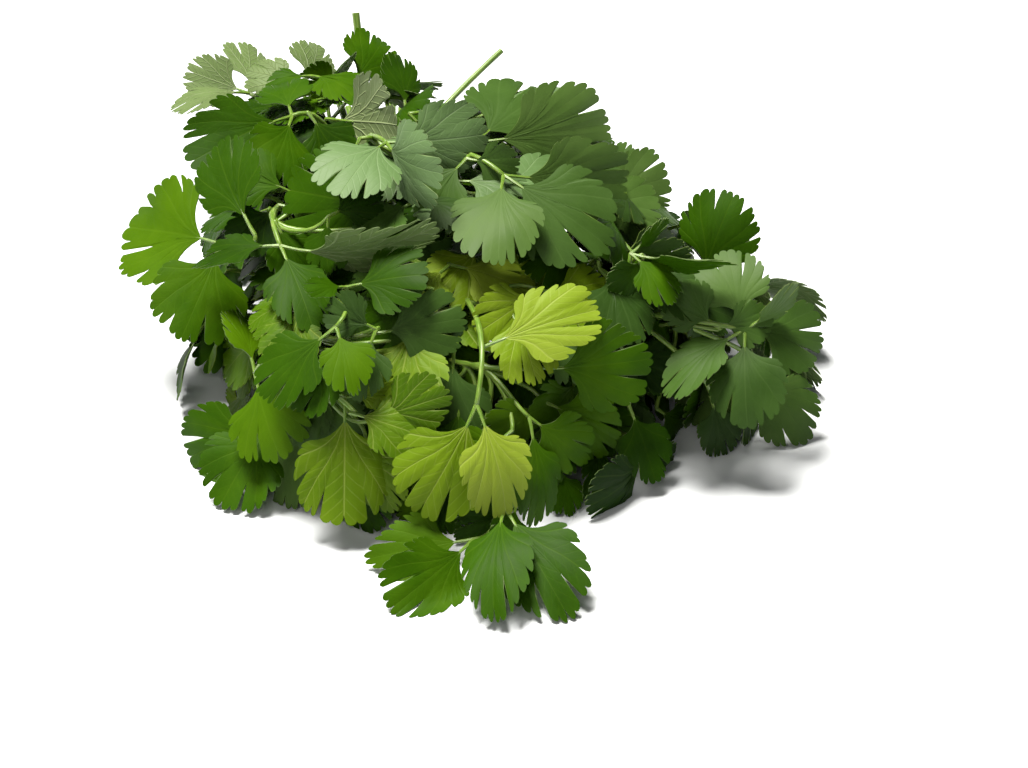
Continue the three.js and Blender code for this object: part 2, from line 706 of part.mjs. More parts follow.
function leafyStemMesh(stem) {
  const main = stemPath(stem.main, stemSteps.behind, stemSteps.ahead);
  const solids = [tubeSolid(main.points, main.radii, stemSides)];
  for (const stalk of stem.stalks) {
    const { points, radii } = stalkPath(stalk, stalkSteps);
    points[0] = nearestOn(main.points, points[0]);
    solids.push(tubeSolid(points, radii, stalkSides));
  }
  for (const blade of stem.blades) solids.push(bladeSolid(blade));
  const joined = wasm.Manifold.union(solids);
  const mesh = joined.getMesh();
  const geometry = new THREE.BufferGeometry();
  const positions = new Float32Array(mesh.numVert * 3);
  for (let i = 0; i < mesh.numVert; i++) {
    positions.set(mesh.vertProperties.subarray(i * mesh.numProp, i * mesh.numProp + 3), i * 3);
  }
  geometry.setAttribute("position", new THREE.BufferAttribute(positions, 3));
  geometry.setIndex(new THREE.BufferAttribute(mesh.triVerts, 1));
  geometry.computeVertexNormals();
  const color = greens[stem.green];
  const material = new THREE.MeshStandardMaterial({ color, roughness: 0.5, metalness: 0 });
  const made = new THREE.Mesh(geometry, material);
  made.name = `leafy_stem_${stem.name}`;
  return made;
}

const bunch = new THREE.Group();
for (const stem of growBunch()) bunch.add(leafyStemMesh(stem));
bunch.position.set(-middle[0], -middle[1], 0);

export default bunch;
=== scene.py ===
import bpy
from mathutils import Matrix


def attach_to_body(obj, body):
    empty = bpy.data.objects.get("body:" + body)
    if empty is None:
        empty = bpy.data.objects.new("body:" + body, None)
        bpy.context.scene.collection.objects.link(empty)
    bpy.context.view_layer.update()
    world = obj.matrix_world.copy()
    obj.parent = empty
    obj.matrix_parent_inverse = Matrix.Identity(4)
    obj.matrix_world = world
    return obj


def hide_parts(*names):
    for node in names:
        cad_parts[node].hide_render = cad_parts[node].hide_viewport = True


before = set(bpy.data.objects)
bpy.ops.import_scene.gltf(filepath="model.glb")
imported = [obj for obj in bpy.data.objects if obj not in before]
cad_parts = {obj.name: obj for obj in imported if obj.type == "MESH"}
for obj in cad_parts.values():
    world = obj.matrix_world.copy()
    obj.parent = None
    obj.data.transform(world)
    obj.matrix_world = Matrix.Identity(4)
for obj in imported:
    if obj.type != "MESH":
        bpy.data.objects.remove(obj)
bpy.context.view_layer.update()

import math

import bpy
import numpy as np

# A bunch of fresh coriander lying on its side: 22 loose leafy stems, each one piece.
# The stems grow in millimetres, by the same rule and draws as the solids did, so that each fine
# stem stands where its solid stands. Meshes are made in metres.

bunch = {
    "middle": (-13.65, 16.05),  # x, y of the bunch's middle, which is the origin
    "seed": 20240185,
    "neck": (-45, 88),  # where the stems come together
    "neckLift": 1.3,
    "neckPitch": 4.5,
    "neckRowRise": 3.9,
    "neckPerRow": 6,
    "neckStagger": 0.25,            # by which every other row is moved aside
    "cutLeast": 36,  # how far behind the neck the stems are cut
    "cutMost": 56,
    "cutSpread": 1.7,
    "cutLift": 1.4,
    "cutRise": 1.5,
    "fineSeed": 700,  # for what only the fine meshes draw
}


def unit(v):
    return v / np.linalg.norm(v)


bunchWay = unit(np.array([0.234, -0.972, 0.0]))  # from the neck into the leaves
bunchSide = unit(np.array([0.972, 0.234, 0.0]))
upWay = np.array([0.0, 0.0, 1.0])
frontWay = np.array([0.0, -0.81, 0.59])  # the side that the heap is looked at from

stemSizes = {
    "cut": 1.8, "neck": 1.7, "tip": 1.0,  # radii of a main stem
    "root": 1.1, "end": 0.85,  # radii of a side stalk
    "dressed": 0.7,  # the skin's share of those radii, for a slimmer stem
    "behind": 18, "leaving": 0.35, "coming": 0.3, "sag": 0.16, "inMain": 0.12,  # how far a stem's bends reach
}

leaflet = {
    "petiolule": 0.17,  # share of a leaflet's length that is its little stalk
    "fanHalf": math.radians(72),
    "fanRound": 0.68,  # the rim is cos(angle) to this power
    "clefts": {5: [0.26, 0.44, 0.44, 0.26], 3: [0.4, 0.4]},
    "leastFace": 0.15, "leastPull": 0.04,
    "arch": (0.04, 0.13), "cup": (-0.22, 0.1), "ripple": (0.02, 0.05),
    "widest": 0.62, "spotsEnd": 0.97, "rimSpot": 0.95,
}

room = {  # what neighbours keep between them
    "bladeStep": 4.6, "bladeRoom": 4.4, "rimSpots": 10, "bladeToStalk": 2.9, "stalkRoom": 0.75,
    "stalkStep": 3, "siblingRoom": 3.4, "siblingFrom": 0.42, "shownTries": 60, "fillTries": 30,
    "clashCost": 12, "dropCost": 3, "crossCost": 1.5, "stayCost": 0.7, "slotSwaps": 500,
    "lookRound": 6, "farFirst": 1, "farMost": 12, "upShare": 0.8, "bowShare": 0.5, "tipShare": 0.5, "turnShare": 2,
    "lowJoint": 2.2, "lowTip": 0.6, "underFloor": -2.5,
}

# The leafy stems whose leaves show best. A leaf is its joint and the tips of its leaflets:
# x, y, z, turn about its midrib from facing the front in degrees, width to length.
# The first leaf ends the main stem, and the others stand on side stalks.
shownStems = {
    "crown_right": [
        [(-3, -8, 80), (33, 2, 70, 8, 0.63), (25, -23, 66, -6, 0.84), (-6, -37, 69, 4, 0.79)],
        [(-12, 20, 70), (9, 48, 70, -15, 0.88), (26, 40, 64, 10, 0.66)]],
    "crown_middle": [
        [(-34, 6, 80), (-8, 9, 84, 30, 0.75), (-16, -18, 80, 25, 0.75), (-38, -16, 77, 18, 0.84)],
        [(-58, 68, 52), (-38, 40, 66, 200, 0.70)]],
    "far_right": [
        [(24, 32, 48), (46, 36, 52, 0, 0.88), (41, 12, 52, 12, 0.79), (34, 44, 60, -10, 0.79)],
        [(30, -4, 58), (54, -2, 58, 45, 0.62), (53, 8, 48, 20, 0.70)]],
    "pale_fans": [
        [(-8, -68, 46), (-24, -86, 15, 0, 0.84), (-4, -83, 18, -14, 0.66)],
        [(-8, -54, 53), (24, -44, 59, -12, 0.58)]],
    "bright_right": [
        [(8, -50, 42), (38, -46, 41, 14, 0.84)],
        [(5, -60, 33), (5, -76, 8, -38, 0.55), (21, -60, 19, 0, 0.79)]],
    "dark_middle": [
        [(-33, -42, 53), (-7, -38, 58, 12, 0.77)],
        [(-17, -46, 46), (-20, -62, 22, -8, 0.75)]],
    "left_joint": [
        [(-67, -22, 65), (-22, -26, 76, 58, 0.48), (-91, -20, 58, 55, 0.53), (-57, -47, 55, -14, 0.62)],
        [(-34, -12, 73), (-67, 0, 75, -8, 0.88)]],
    "far_left": [
        [(-86, -3, 53), (-114, 18, 46, 10, 0.92), (-96, -27, 37, -10, 0.88)],
        [(-75, -12, 62), (-86, 20, 73, -25, 0.62)]],
    "top_left": [
        [(-68, 60, 58), (-73, 82, 56, 10, 0.75), (-75, 33, 52, -20, 0.70), (-98, 42, 53, 12, 0.70)],
        [(-66, 104, 42), (-62, 126, 46, 20, 0.79), (-85, 114, 42, 10, 0.70)]],
    "dark_left": [
        [(-50, -38, 58), (-26, -38, 61, -22, 0.79), (-60, -46, 61, 50, 0.48)],
        [(-53, -46, 51), (-71, -57, 37, 12, 0.62), (-52, -63, 42, -8, 0.79)]],
    "yellow_left": [
        [(-73, -46, 36), (-64, -66, 23, 22, 0.97), (-83, -28, 46, 50, 0.53)],
        [(-62, -48, 25), (-75, -62, 7, 0, 0.84), (-87, -42, 9, 12, 0.79)]],
    "round_front": [
        [(-48, -59, 40), (-48, -78, 10, -4, 0.77), (-34, -56, 43, 20, 0.70)],
        [(-40, -65, 34), (-20, -68, 43, 8, 0.79)]],
    "front_spill": [
        [(-4, -84, 15), (12, -115, 3, -8, 0.66), (-6, -118, 4, 10, 0.53)],
        [(-12, -84, 8), (-40, -88, 5, 8, 0.66), (-34, -107, 1, -4, 0.70)]],
    "right_low": [
        [(38, -27, 30), (46, -39, 12, 0, 0.79), (60, -34, 7, 12, 0.66)],
        [(32, -16, 56), (61, -18, 54, 62, 0.53), (46, -27, 44, -18, 0.70), (47, -15, 66, 60, 0.62)]],
    "right_cluster": [
        [(66, -31, 42), (60, -12, 56, 0, 0.84), (66, -50, 24, 8, 0.81), (88, -24, 33, -10, 0.88),
         (44, -46, 31, 48, 0.53), (80, -26, 54, 62, 0.53)],
        [(70, -22, 22), (86, -30, 3, -6, 0.79), (50, -18, 5, 10, 0.66)]],
    "right_upright": [
        [(55, -6, 42), (64, 3, 66, -8, 0.86)]],
    "back_left": [
        [(-82, 100, 34), (-88, 122, 40, 20, 0.66), (-104, 106, 38, 15, 0.70), (-102, 82, 33, 50, 0.62)]],
    "back_middle": [
        [(-52, 96, 47), (-42, 118, 50, 14, 0.84), (-68, 88, 52, 170, 0.79)]],
    "back_right": [
        [(-34, 84, 44), (-38, 104, 54, 40, 0.62), (-8, 78, 46, 62, 0.53), (-30, 58, 56, 10, 0.79)]],
    "under_left": [
        [(-78, 14, 22), (-104, 8, 6, 0, 0.79), (-98, -14, 10, 0, 0.79), (-96, 34, 10, 0, 0.79)]],
    "under_right": [
        [(36, 22, 20), (64, 22, 6, 0, 0.79), (56, 0, 12, 0, 0.79), (50, 46, 12, 0, 0.79)]],
    "under_front": [
        [(14, -30, 14), (34, -48, 3, 0, 0.75), (46, -28, 6, 0, 0.70), (10, -60, 4, 0, 0.75)]],
}
highCuts = {"back_middle": (-51, 128, 55), "back_right": (-4, 133, 38)}  # cut ends that stand up
thinStems = {"back_right": 0.75}

heaps = [  # the rest of the leaves lie on these two heaps
    {"x": -23, "y": 6, "wide": 82, "long": 78, "high": 76, "leaves": 30},
    {"x": -48, "y": 80, "wide": 44, "long": 40, "high": 44, "leaves": 10},
]
filling = {
    "layers": [0.94, 0.7, 0.84],  # how deep in the heap the leaves lie, in turn
    "least": 24, "most": 34, "spread": [0, 58, -58], "swing": 12, "twist": 14, "width": (0.72, 0.92),
    "turn": 2.399963, "steep": 0.94, "onward": 0.5, "droop": -0.35, "raised": 0.05,
    "middleLeaf": (1.1, 3), "sideLeaf": (0.95, -2),  # length and lift
    "reachLeast": 16, "reachMost": 60,
}
branching = {"first": 0.1, "last": 0.9, "step": 0.05, "ahead": 14, "aheadCost": 0.8}

drawState = {"now": bunch["seed"]}


def draw(low, high):
    drawState["now"] = drawState["now"] * 48271 % 2147483647
    return low + (high - low) * drawState["now"] / 2147483647


def scatter(far, upShare):
    return np.array([draw(-far, far), draw(-far, far), draw(-far, far) * upShare])


def mix(a, b, share):
    return a + (b - a) * share


def turned(v, axis, angle):  # v turned about a unit axis
    held = axis * np.dot(axis, v)
    return v * math.cos(angle) + np.cross(axis, v) * math.sin(angle) + held * (1 - math.cos(angle))


# Curves: a list of 3 or 4 control points, read at one share or at an array of them
def along(curve, shares):
    t = np.asarray(shares, float)[..., None]
    k = 1 - t
    if len(curve) == 3:
        return k * k * curve[0] + 2 * k * t * curve[1] + t * t * curve[2]
    return k * k * k * curve[0] + 3 * k * k * t * curve[1] + 3 * k * t * t * curve[2] + t * t * t * curve[3]


def wayAlong(curve, share):
    step = 0.0001
    before, after = along(curve, [max(share - step, 0), min(share + step, 1)])
    return unit(after - before)


def curveLength(curve):
    return np.linalg.norm(np.diff(along(curve, np.arange(201) / 200), axis=0), axis=1).sum()


def mainStem(atNeck, cutEnd, joint, heading, bow):
    reach = np.linalg.norm(joint - atNeck)
    return {"joint": joint,
            "behind": [cutEnd, atNeck - bunchWay * stemSizes["behind"], atNeck],
            "ahead": [atNeck, atNeck + bunchWay * (stemSizes["leaving"] * reach),
                      joint - heading * (stemSizes["coming"] * reach) + bow, joint]}


def sideStalk(main, share, joint, heading, bow):
    root = along(main["ahead"], share)
    reach = np.linalg.norm(root - joint)
    way = wayAlong(main["ahead"], share)
    bend = stemSizes["leaving"] * reach
    return {"joint": joint, "share": share, "sag": -stemSizes["sag"] * reach * upWay,
            "curve": [root, root + way * bend, joint - heading * bend + bow, joint]}


# A leaflet: where it starts, its own axes and how its surface bends
def makeBlade(base, tip, facing, turn, width, lobes):
    span = tip - base
    length = np.linalg.norm(span)
    ahead = span / length
    face = facing - ahead * np.dot(facing, ahead)
    if np.linalg.norm(face) < leaflet["leastFace"]:
        face = upWay - ahead * ahead[2]
    face = turned(unit(face), ahead, math.radians(turn))
    return {"base": base, "ahead": ahead, "length": length, "face": face, "across": np.cross(face, ahead),
            "width": width, "lobes": lobes, "arch": draw(*leaflet["arch"]), "cup": draw(*leaflet["cup"]),
            "ripple": draw(*leaflet["ripple"]), "phase": draw(0, 2 * math.pi)}


def bladePoints(blade, forward, sideways, rise=0):
    v = sideways * blade["width"]
    lift = (blade["arch"] * 4 * forward * (1 - forward) + blade["cup"] * v * v * 2
            + blade["ripple"] * (forward * forward + v * v) * np.sin(9 * v + 4 * forward + blade["phase"]))
    return (blade["base"] + np.multiply.outer(forward * blade["length"], blade["ahead"])
            + np.multiply.outer(v * blade["length"], blade["across"])
            + np.multiply.outer(lift * blade["length"] + rise, blade["face"]))


# Spots: places along a path or over a leaflet, which are kept clear of the neighbours
def spots(points, owner, radius=0.0, stalk=False, number=-1, out=0.0):
    made = np.zeros((len(points), 8))
    made[:, :3] = points
    for column, value in zip(range(3, 8), (radius, stalk, owner, number, out)):
        made[:, column] = value
    return made


def stalkSpots(curves, owner, skip):
    made = []
    for curve, first, last in curves:
        steps = math.ceil(curveLength(curve) / room["stalkStep"])
        shares = np.arange(steps + 1) / steps
        shares = shares[shares >= skip]
        made.append(spots(along(curve, shares), owner, mix(first, last, shares), True))
    return np.vstack(made)


def bladeSpots(blade, number, owner):
    inner, fanHalf = leaflet["petiolule"], leaflet["fanHalf"]
    step = room["bladeStep"] / blade["length"]
    wide = math.ceil(leaflet["widest"] / (step / blade["width"]))
    forwards, now = [], step
    while now <= leaflet["spotsEnd"]:
        forwards.append(now)
        now += step
    forward, k = np.meshgrid(np.array(forwards), np.arange(-wide, wide + 1), indexing="ij")
    forward, sideways = forward.ravel(), (k * step / blade["width"]).ravel()
    angle = np.arctan2(sideways, forward - inner)
    rim = (1 - inner) * np.maximum(np.cos(angle), 1e-9) ** leaflet["fanRound"]
    keep = (np.abs(angle) <= fanHalf) & (np.hypot(sideways, forward - inner) <= rim)
    forward, sideways = forward[keep], sideways[keep]
    inside = spots(bladePoints(blade, forward, sideways), owner, number=number, out=np.hypot(forward, sideways))
    angle = mix(-fanHalf, fanHalf, (np.arange(room["rimSpots"] + 1) + 0.5) / (room["rimSpots"] + 1))
    r = leaflet["rimSpot"] * (1 - inner) * np.cos(angle) ** leaflet["fanRound"]
    points = bladePoints(blade, inner + r * np.cos(angle), r * np.sin(angle))
    return np.vstack([inside, spots(points, owner, number=number, out=r)])


taken = {"spots": np.zeros((0, 8))}


def take(settled):
    taken["spots"] = np.vstack([taken["spots"], settled["spots"]])


# How many spots come too near what is already placed
def clashes(made, bladeRoom):
    found = int((made[:, 2] < room["underFloor"]).sum())
    near = taken["spots"]
    low, high = made[:, :3].min(0) - room["lookRound"], made[:, :3].max(0) + room["lookRound"]
    near = near[((near[:, :3] > low) & (near[:, :3] < high)).all(1)]
    if not len(near) or not len(made):
        return found
    apart = ((made[:, None, :3] - near[None, :, :3]) ** 2).sum(2)
    stalkA, stalkB = made[:, None, 4] > 0, near[None, :, 4] > 0
    radii = made[:, None, 3] + near[None, :, 3]
    bladeToStalk = room["bladeToStalk"] * bladeRoom / room["bladeRoom"]
    needed = np.where(stalkA & stalkB, radii + room["stalkRoom"],
                      np.where(stalkA | stalkB, radii + bladeToStalk, bladeRoom))
    own = (made[:, None, 5] == near[None, :, 5]) & (stalkA | stalkB)
    return found + int(((apart < needed * needed) & ~own).any(1).sum())


def siblingClashes(made):
    outer = made[(made[:, 4] == 0) & (made[:, 7] > room["siblingFrom"])]
    if not len(outer):
        return 0
    apart = np.sqrt(((outer[:, None, :3] - outer[None, :, :3]) ** 2).sum(2))
    return int(((apart < room["siblingRoom"]) & (outer[None, :, 6] > outer[:, None, 6])).any(1).sum())


def headingOf(joint, tips):
    total = sum(unit(tip - joint) for tip in tips)
    return unit(total if np.dot(total, total) > leaflet["leastPull"] else tips[0] - joint)


# A leaf is moved and turned a little, further at each try, until it is clear of its neighbours.
# One of the filling does without the leaflets that find no room.
def settle(leaf, owner, attach):
    best = None
    isFilling = leaf.get("filling", False)
    bladeRoom = leaf.get("room", room["bladeRoom"])
    most = leaf.get("tries", room["fillTries"] if isFilling else room["shownTries"])
    for attempt in range(most):
        far = 0 if attempt == 0 else room["farFirst"] + room["farMost"] * attempt / most
        shift, bow = scatter(far, room["upShare"]), scatter(far, room["bowShare"])
        joint = leaf["joint"] + shift
        tips = [tip[0] + shift + scatter(room["tipShare"] * far, 1) for tip in leaf["tips"]]
        turns = [tip[1] + draw(-far, far) * room["turnShare"] for tip in leaf["tips"]]
        joint[2] = max(joint[2], room["lowJoint"])
        for tip in tips:
            tip[2] = max(tip[2], room["lowTip"])
        heading = headingOf(joint, tips)
        blades = [makeBlade(joint, tips[i], leaf["facing"], turns[i], leaf["tips"][i][2], leaf["lobes"])
                  for i in range(len(tips))]
        carrier = attach(joint, heading, bow)
        onStalk = stalkSpots(carrier["curves"], owner, carrier["skip"])
        leaflets = []
        for number, blade in enumerate(blades):
            made = bladeSpots(blade, number, owner)
            leaflets.append((blade, made, clashes(made, bladeRoom)))
        kept = [item for item in leaflets if item[2] == 0] if isFilling else leaflets
        dropped = len(leaflets) - len(kept)
        allSpots = np.vstack([onStalk] + [item[1] for item in kept])
        found = clashes(onStalk, bladeRoom) + (len(kept) == 0) + sum(item[2] for item in kept)
        crossed = siblingClashes(allSpots)
        cost = (room["clashCost"] * found + room["dropCost"] * dropped + room["crossCost"] * crossed
                + room["stayCost"] * np.linalg.norm(shift))
        if best is None or cost < best["cost"]:
            best = {"cost": cost, "found": found, "blades": [item[0] for item in kept],
                    "carrier": carrier, "spots": allSpots}
        if found + crossed + dropped == 0:
            break
    return best


# Places in the neck: rows on top of one another. Stems that end highest start in the top rows.
def neckSlots(leaves):
    centre = np.array([*bunch["neck"], 0.0])
    ways = []
    for index, leaf in enumerate(leaves):
        out = leaf["joint"] - centre
        forward = max(30, np.dot(out, bunchWay))
        ways.append((index, out[2] / forward, np.dot(out, bunchSide) / forward))
    ways.sort(key=lambda way: way[1])
    slots = [None] * len(ways)
    perRow = bunch["neckPerRow"]
    for row in range(math.ceil(len(ways) / perRow)):
        inRow = sorted(ways[row * perRow:(row + 1) * perRow], key=lambda way: way[2])
        stagger = bunch["neckStagger"] if row % 2 else -bunch["neckStagger"]
        for column, (index, _, _) in enumerate(inRow):
            aside = (column - (len(inRow) - 1) / 2 + stagger) * bunch["neckPitch"]
            rise = bunch["neckLift"] + row * bunch["neckRowRise"]
            slots[index] = {"aside": aside, "rise": rise, "place": centre + bunchSide * aside + upWay * rise}
    return slots


def cutEndOf(slot, name, length):
    if name in highCuts:
        return np.array(highCuts[name], float)
    end = slot["place"] - bunchWay * length + bunchSide * (slot["aside"] * (bunch["cutSpread"] - 1))
    end[2] = bunch["cutLift"] + (slot["rise"] - bunch["neckLift"]) * bunch["cutRise"]
    return end


# Two stems change places in the neck wherever fewer stems cross for it
def untangle(slots, leaves, names, cuts):
    def lineOf(index, slot):
        leaf = leaves[index]
        heading = headingOf(leaf["joint"], [tip[0] for tip in leaf["tips"]])
        cutEnd = cutEndOf(slot, names[index], cuts[index])
        main = mainStem(slot["place"], cutEnd, leaf["joint"], heading, np.zeros(3))
        return np.vstack([along(main["behind"], np.arange(11) / 10), along(main["ahead"], np.arange(29) / 28)])

    def crossings(line, skips, lines):
        others = [index for index in range(len(lines)) if index not in skips]
        apart = ((line[None, :, None] - lines[others][:, None]) ** 2).sum(3)
        return int((apart < (2 * stemSizes["neck"] + room["stalkRoom"]) ** 2).any(2).sum())

    lines = np.array([lineOf(index, slot) for index, slot in enumerate(slots)])
    for swap in range(room["slotSwaps"]):
        i = math.floor(draw(0, len(slots)))
        j = math.floor(draw(0, len(slots)))
        if i == j:
            continue
        before = crossings(lines[i], [i], lines) + crossings(lines[j], [i, j], lines)
        if before == 0:
            continue
        changed = lines.copy()
        changed[i], changed[j] = lineOf(i, slots[j]), lineOf(j, slots[i])
        after = crossings(changed[i], [i], changed) + crossings(changed[j], [i, j], changed)
        if after < before:
            slots[i], slots[j] = slots[j], slots[i]
            lines = changed


def shownLeaf(places):
    joint, *tips = places
    return {"joint": np.array(joint, float), "facing": frontWay, "lobes": 5,
            "tips": [(np.array(tip[:3], float), tip[3], tip[4]) for tip in tips]}


# A leaf of the filling: on a heap's rounded surface, pointing away from the neck and down the slope
def fillLeaf(heap, index, layers):
    share, angle = (index + 0.5) / heap["leaves"], index * filling["turn"]
    low = math.sqrt(1 - (1 - share) * (1 - share))
    out = np.array([low * math.cos(angle), low * math.sin(angle), 1 - share * filling["steep"]])
    size = np.array([heap["wide"], heap["long"], heap["high"]])
    joint = np.array([heap["x"], heap["y"], 0]) + out * size * layers[index % len(layers)]
    facing = unit(out / size)
    way = bunchWay * filling["onward"] + np.array([out[0], out[1], filling["droop"] * low])
    way = unit(way + facing * (filling["raised"] - np.dot(way, facing)))
    tips = []
    for spread in filling["spread"]:
        longer, lift = filling["middleLeaf"] if spread == 0 else filling["sideLeaf"]
        length = draw(filling["least"], filling["most"]) * longer
        aside = math.radians(spread + draw(-filling["swing"], filling["swing"]))
        place = joint + turned(way, facing, aside) * length + facing * lift
        tips.append((place, draw(-filling["twist"], filling["twist"]), draw(*filling["width"])))
    return {"joint": joint, "tips": tips, "facing": facing, "lobes": 3, "filling": True}


# Where a side stalk leaves the main stem: a little nearer the neck than the joint is
def branchShare(main, joint):
    best, least, share = branching["first"], math.inf, branching["first"]
    while share < branching["last"]:
        back = joint - along(main["ahead"], share)
        cost = np.linalg.norm(back) + branching["aheadCost"] * abs(np.dot(back, bunchWay) - branching["ahead"])
        if cost < least:
            best, least = share, cost
        share += branching["step"]
    return best


def nearestStem(stems, leaf, perBlade=6):
    best, least = -1, math.inf
    for index, stem in enumerate(stems):
        share = branchShare(stem["main"], leaf["joint"])
        reach = np.linalg.norm(along(stem["main"]["ahead"], share) - leaf["joint"])
        cost = reach + perBlade * len(stem["blades"])
        if filling["reachLeast"] < reach < filling["reachMost"] and cost < least:
            best, least = index, cost
    return best


def growSide(stem, leaf, owner, mostLeft, wanted=None):
    share = branchShare(stem["main"], leaf["joint"])

    def attach(joint, heading, bow):
        stalk = sideStalk(stem["main"], share, joint, heading, bow)
        return {"stalk": stalk, "skip": stemSizes["inMain"],
                "curves": [(stalk["curve"], stemSizes["root"], stemSizes["end"])]}

    settled = settle(leaf, owner, attach)
    if settled["found"] > mostLeft:
        return
    if wanted:
        settled["blades"] = [blade for blade in settled["blades"] if wanted(blade)]
        if not settled["blades"]:
            return
    take(settled)
    stem["stalks"].append(settled["carrier"]["stalk"])
    stem["blades"] += settled["blades"]


def growBunch():
    names = list(shownStems)
    firstLeaves = [shownLeaf(leaves[0]) for leaves in shownStems.values()]
    cuts = [draw(bunch["cutLeast"], bunch["cutMost"]) for _ in names]
    slots = neckSlots(firstLeaves)
    untangle(slots, firstLeaves, names, cuts)
    stems = []
    for owner, name in enumerate(names):
        slot, cutEnd = slots[owner], cutEndOf(slots[owner], name, cuts[owner])

        def attach(joint, heading, bow):
            main = mainStem(slot["place"], cutEnd, joint, heading, bow)
            return {"main": main, "skip": 0, "curves": [
                (main["behind"], stemSizes["cut"], stemSizes["neck"]),
                (main["ahead"], stemSizes["neck"], stemSizes["tip"])]}

        settled = settle(firstLeaves[owner], owner, attach)
        take(settled)
        stems.append({"name": name, "main": settled["carrier"]["main"], "stalks": [],
                      "blades": list(settled["blades"]), "thick": thinStems.get(name, 1)})
    for owner, leaves in enumerate(shownStems.values()):
        for places in leaves[1:]:
            growSide(stems[owner], shownLeaf(places), owner, math.inf)
    for heap in heaps:
        for index in range(heap["leaves"]):
            leaf = fillLeaf(heap, index, filling["layers"])
            carrier = nearestStem(stems, leaf)
            if carrier >= 0:
                growSide(stems[carrier], leaf, carrier, 0)
    return stems


stems = growBunch()
print("stage 1: grown", len(stems), "stems,", sum(len(stem["blades"]) for stem in stems), "leaflets")

thicket = {  # leaves that close the heap under the ones that show
    "heaps": [{"x": -18, "y": 8, "wide": 72, "long": 74, "high": 74, "leaves": 170, "size": 0.85, "room": 1.5},
              {"x": 34, "y": -4, "wide": 40, "long": 30, "high": 54, "leaves": 40, "size": 0.8, "room": 1.3},
              {"x": -52, "y": 82, "wide": 40, "long": 44, "high": 50, "leaves": 80, "size": 0.7, "room": 0.8}],
    "layers": [0.82, 0.94, 1.04, 0.72, 0.98], "tries": 10, "perBlade": 1.5, "mostLeft": 1,
    "top": 82,  # no added leaf starts or ends above this
    "nearSide": 2.6, "nearDeep": -1, "hiddenDeep": -2,
    "mostHidden": 6,  # spots of the shown leaves that one may hide
}
covers = {  # small leaves before stalks that would show bare
    "shares": (0.4, 0.55, 0.7, 0.85), "before": 5, "spread": (20, 150, -110), "swing": 15, "length": (15, 22),
    "twist": 25, "width": (0.75, 0.95), "room": 0.9, "sideStalks": 2, "bare": ("pale_fans", "bright_right"),
}
lookWay, lookUp = np.array([0.0, 0.809, -0.588]), np.array([0.0, 0.588, 0.809])


# Where points lie as seen from the front: right, up and away
def fromFront(points):
    return np.stack([points[:, 0], points @ lookUp, points @ lookWay], 1)


def seenSpots(blade):
    return fromFront(bladeSpots(blade, 0, 0)[:, :3])


def lowered(place):
    return np.array([place[0], place[1], min(place[2], thicket["top"])])


def inFront(apart, deep):  # which of the places beside each other hide the others
    return (np.abs(apart[..., :2]) < thicket["nearSide"]).all(-1) & (apart[..., 2] < deep)


# Says whether a leaflet leaves the shown ones in sight
def keepsClear():
    each = [(blade["lobes"] == 5, seenSpots(blade)) for stem in stems for blade in stem["blades"]]
    shown = []
    for number, (isShown, places) in enumerate(each):
        if isShown:  # only what other leaves don't hide already
            others = np.vstack([other for index, (_, other) in enumerate(each) if index != number])
            hidden = inFront(others[:, None] - places[None], thicket["hiddenDeep"]).any(0)
            shown.append(places[~hidden])
    shown = np.vstack(shown)

    def wanted(blade):
        near = inFront(seenSpots(blade)[:, None] - shown[None], thicket["nearDeep"])
        return near.any(0).sum() <= thicket["mostHidden"]
    return wanted


def growInside(stem, leaf, owner, wanted):
    before = len(stem["blades"])
    growSide(stem, leaf, owner, thicket["mostLeft"], wanted)
    added = stem["blades"][before:]
    for blade in added:
        blade["inside"] = True
    return added


def growThicket(wanted):
    for heap in thicket["heaps"]:
        grown = 0
        for index in range(heap["leaves"]):
            leaf = fillLeaf(heap, index, thicket["layers"])
            joint = leaf["joint"]
            joint[2] = min(joint[2], thicket["top"])
            tips = [(lowered(joint + (place - joint) * heap["size"]), turn, width)
                    for place, turn, width in leaf["tips"]]
            leaf.update(room=heap["room"], tries=thicket["tries"], lobes=5, tips=tips)
            carrier = nearestStem(stems, leaf, thicket["perBlade"])
            if carrier >= 0:
                grown += len(growInside(stems[carrier], leaf, carrier, wanted))
        print("heap at", heap["x"], heap["y"], "has", grown, "leaflets")


# Where a bare stalk would show from the front, a small leaf grows before it
def growCovers(wanted):
    made = [seenSpots(blade) for stem in stems for blade in stem["blades"]]
    for owner, stem in enumerate(stems):
        if stem["name"] in covers["bare"]:
            continue
        stalks = stem["stalks"][:covers["sideStalks"]]
        for curve in [stem["main"]["ahead"]] + [stalk["curve"] for stalk in stalks]:
            for share in covers["shares"]:
                point, way = along(curve, share), wayAlong(curve, share)
                if inFront(np.vstack(made) - fromFront(point[None]), thicket["nearDeep"]).any():
                    continue
                way = unit(way - frontWay * np.dot(way, frontWay) / np.dot(frontWay, frontWay))
                joint = lowered(point - lookWay * covers["before"])
                tips = []
                for spread in covers["spread"]:
                    aside = math.radians(spread + draw(-covers["swing"], covers["swing"]))
                    tip = lowered(joint + turned(way, unit(frontWay), aside) * draw(*covers["length"]))
                    tips.append((tip, draw(-covers["twist"], covers["twist"]), draw(*covers["width"])))
                leaf = {"joint": joint, "tips": tips, "facing": frontWay, "lobes": 5, "filling": True,
                        "room": covers["room"], "tries": thicket["tries"]}
                made += [seenSpots(blade) for blade in growInside(stem, leaf, owner, wanted)]


clearOf = keepsClear()
growThicket(clearOf)
growCovers(clearOf)
print("stage 2: thicket grown,", sum(len(stem["blades"]) for stem in stems), "leaflets")


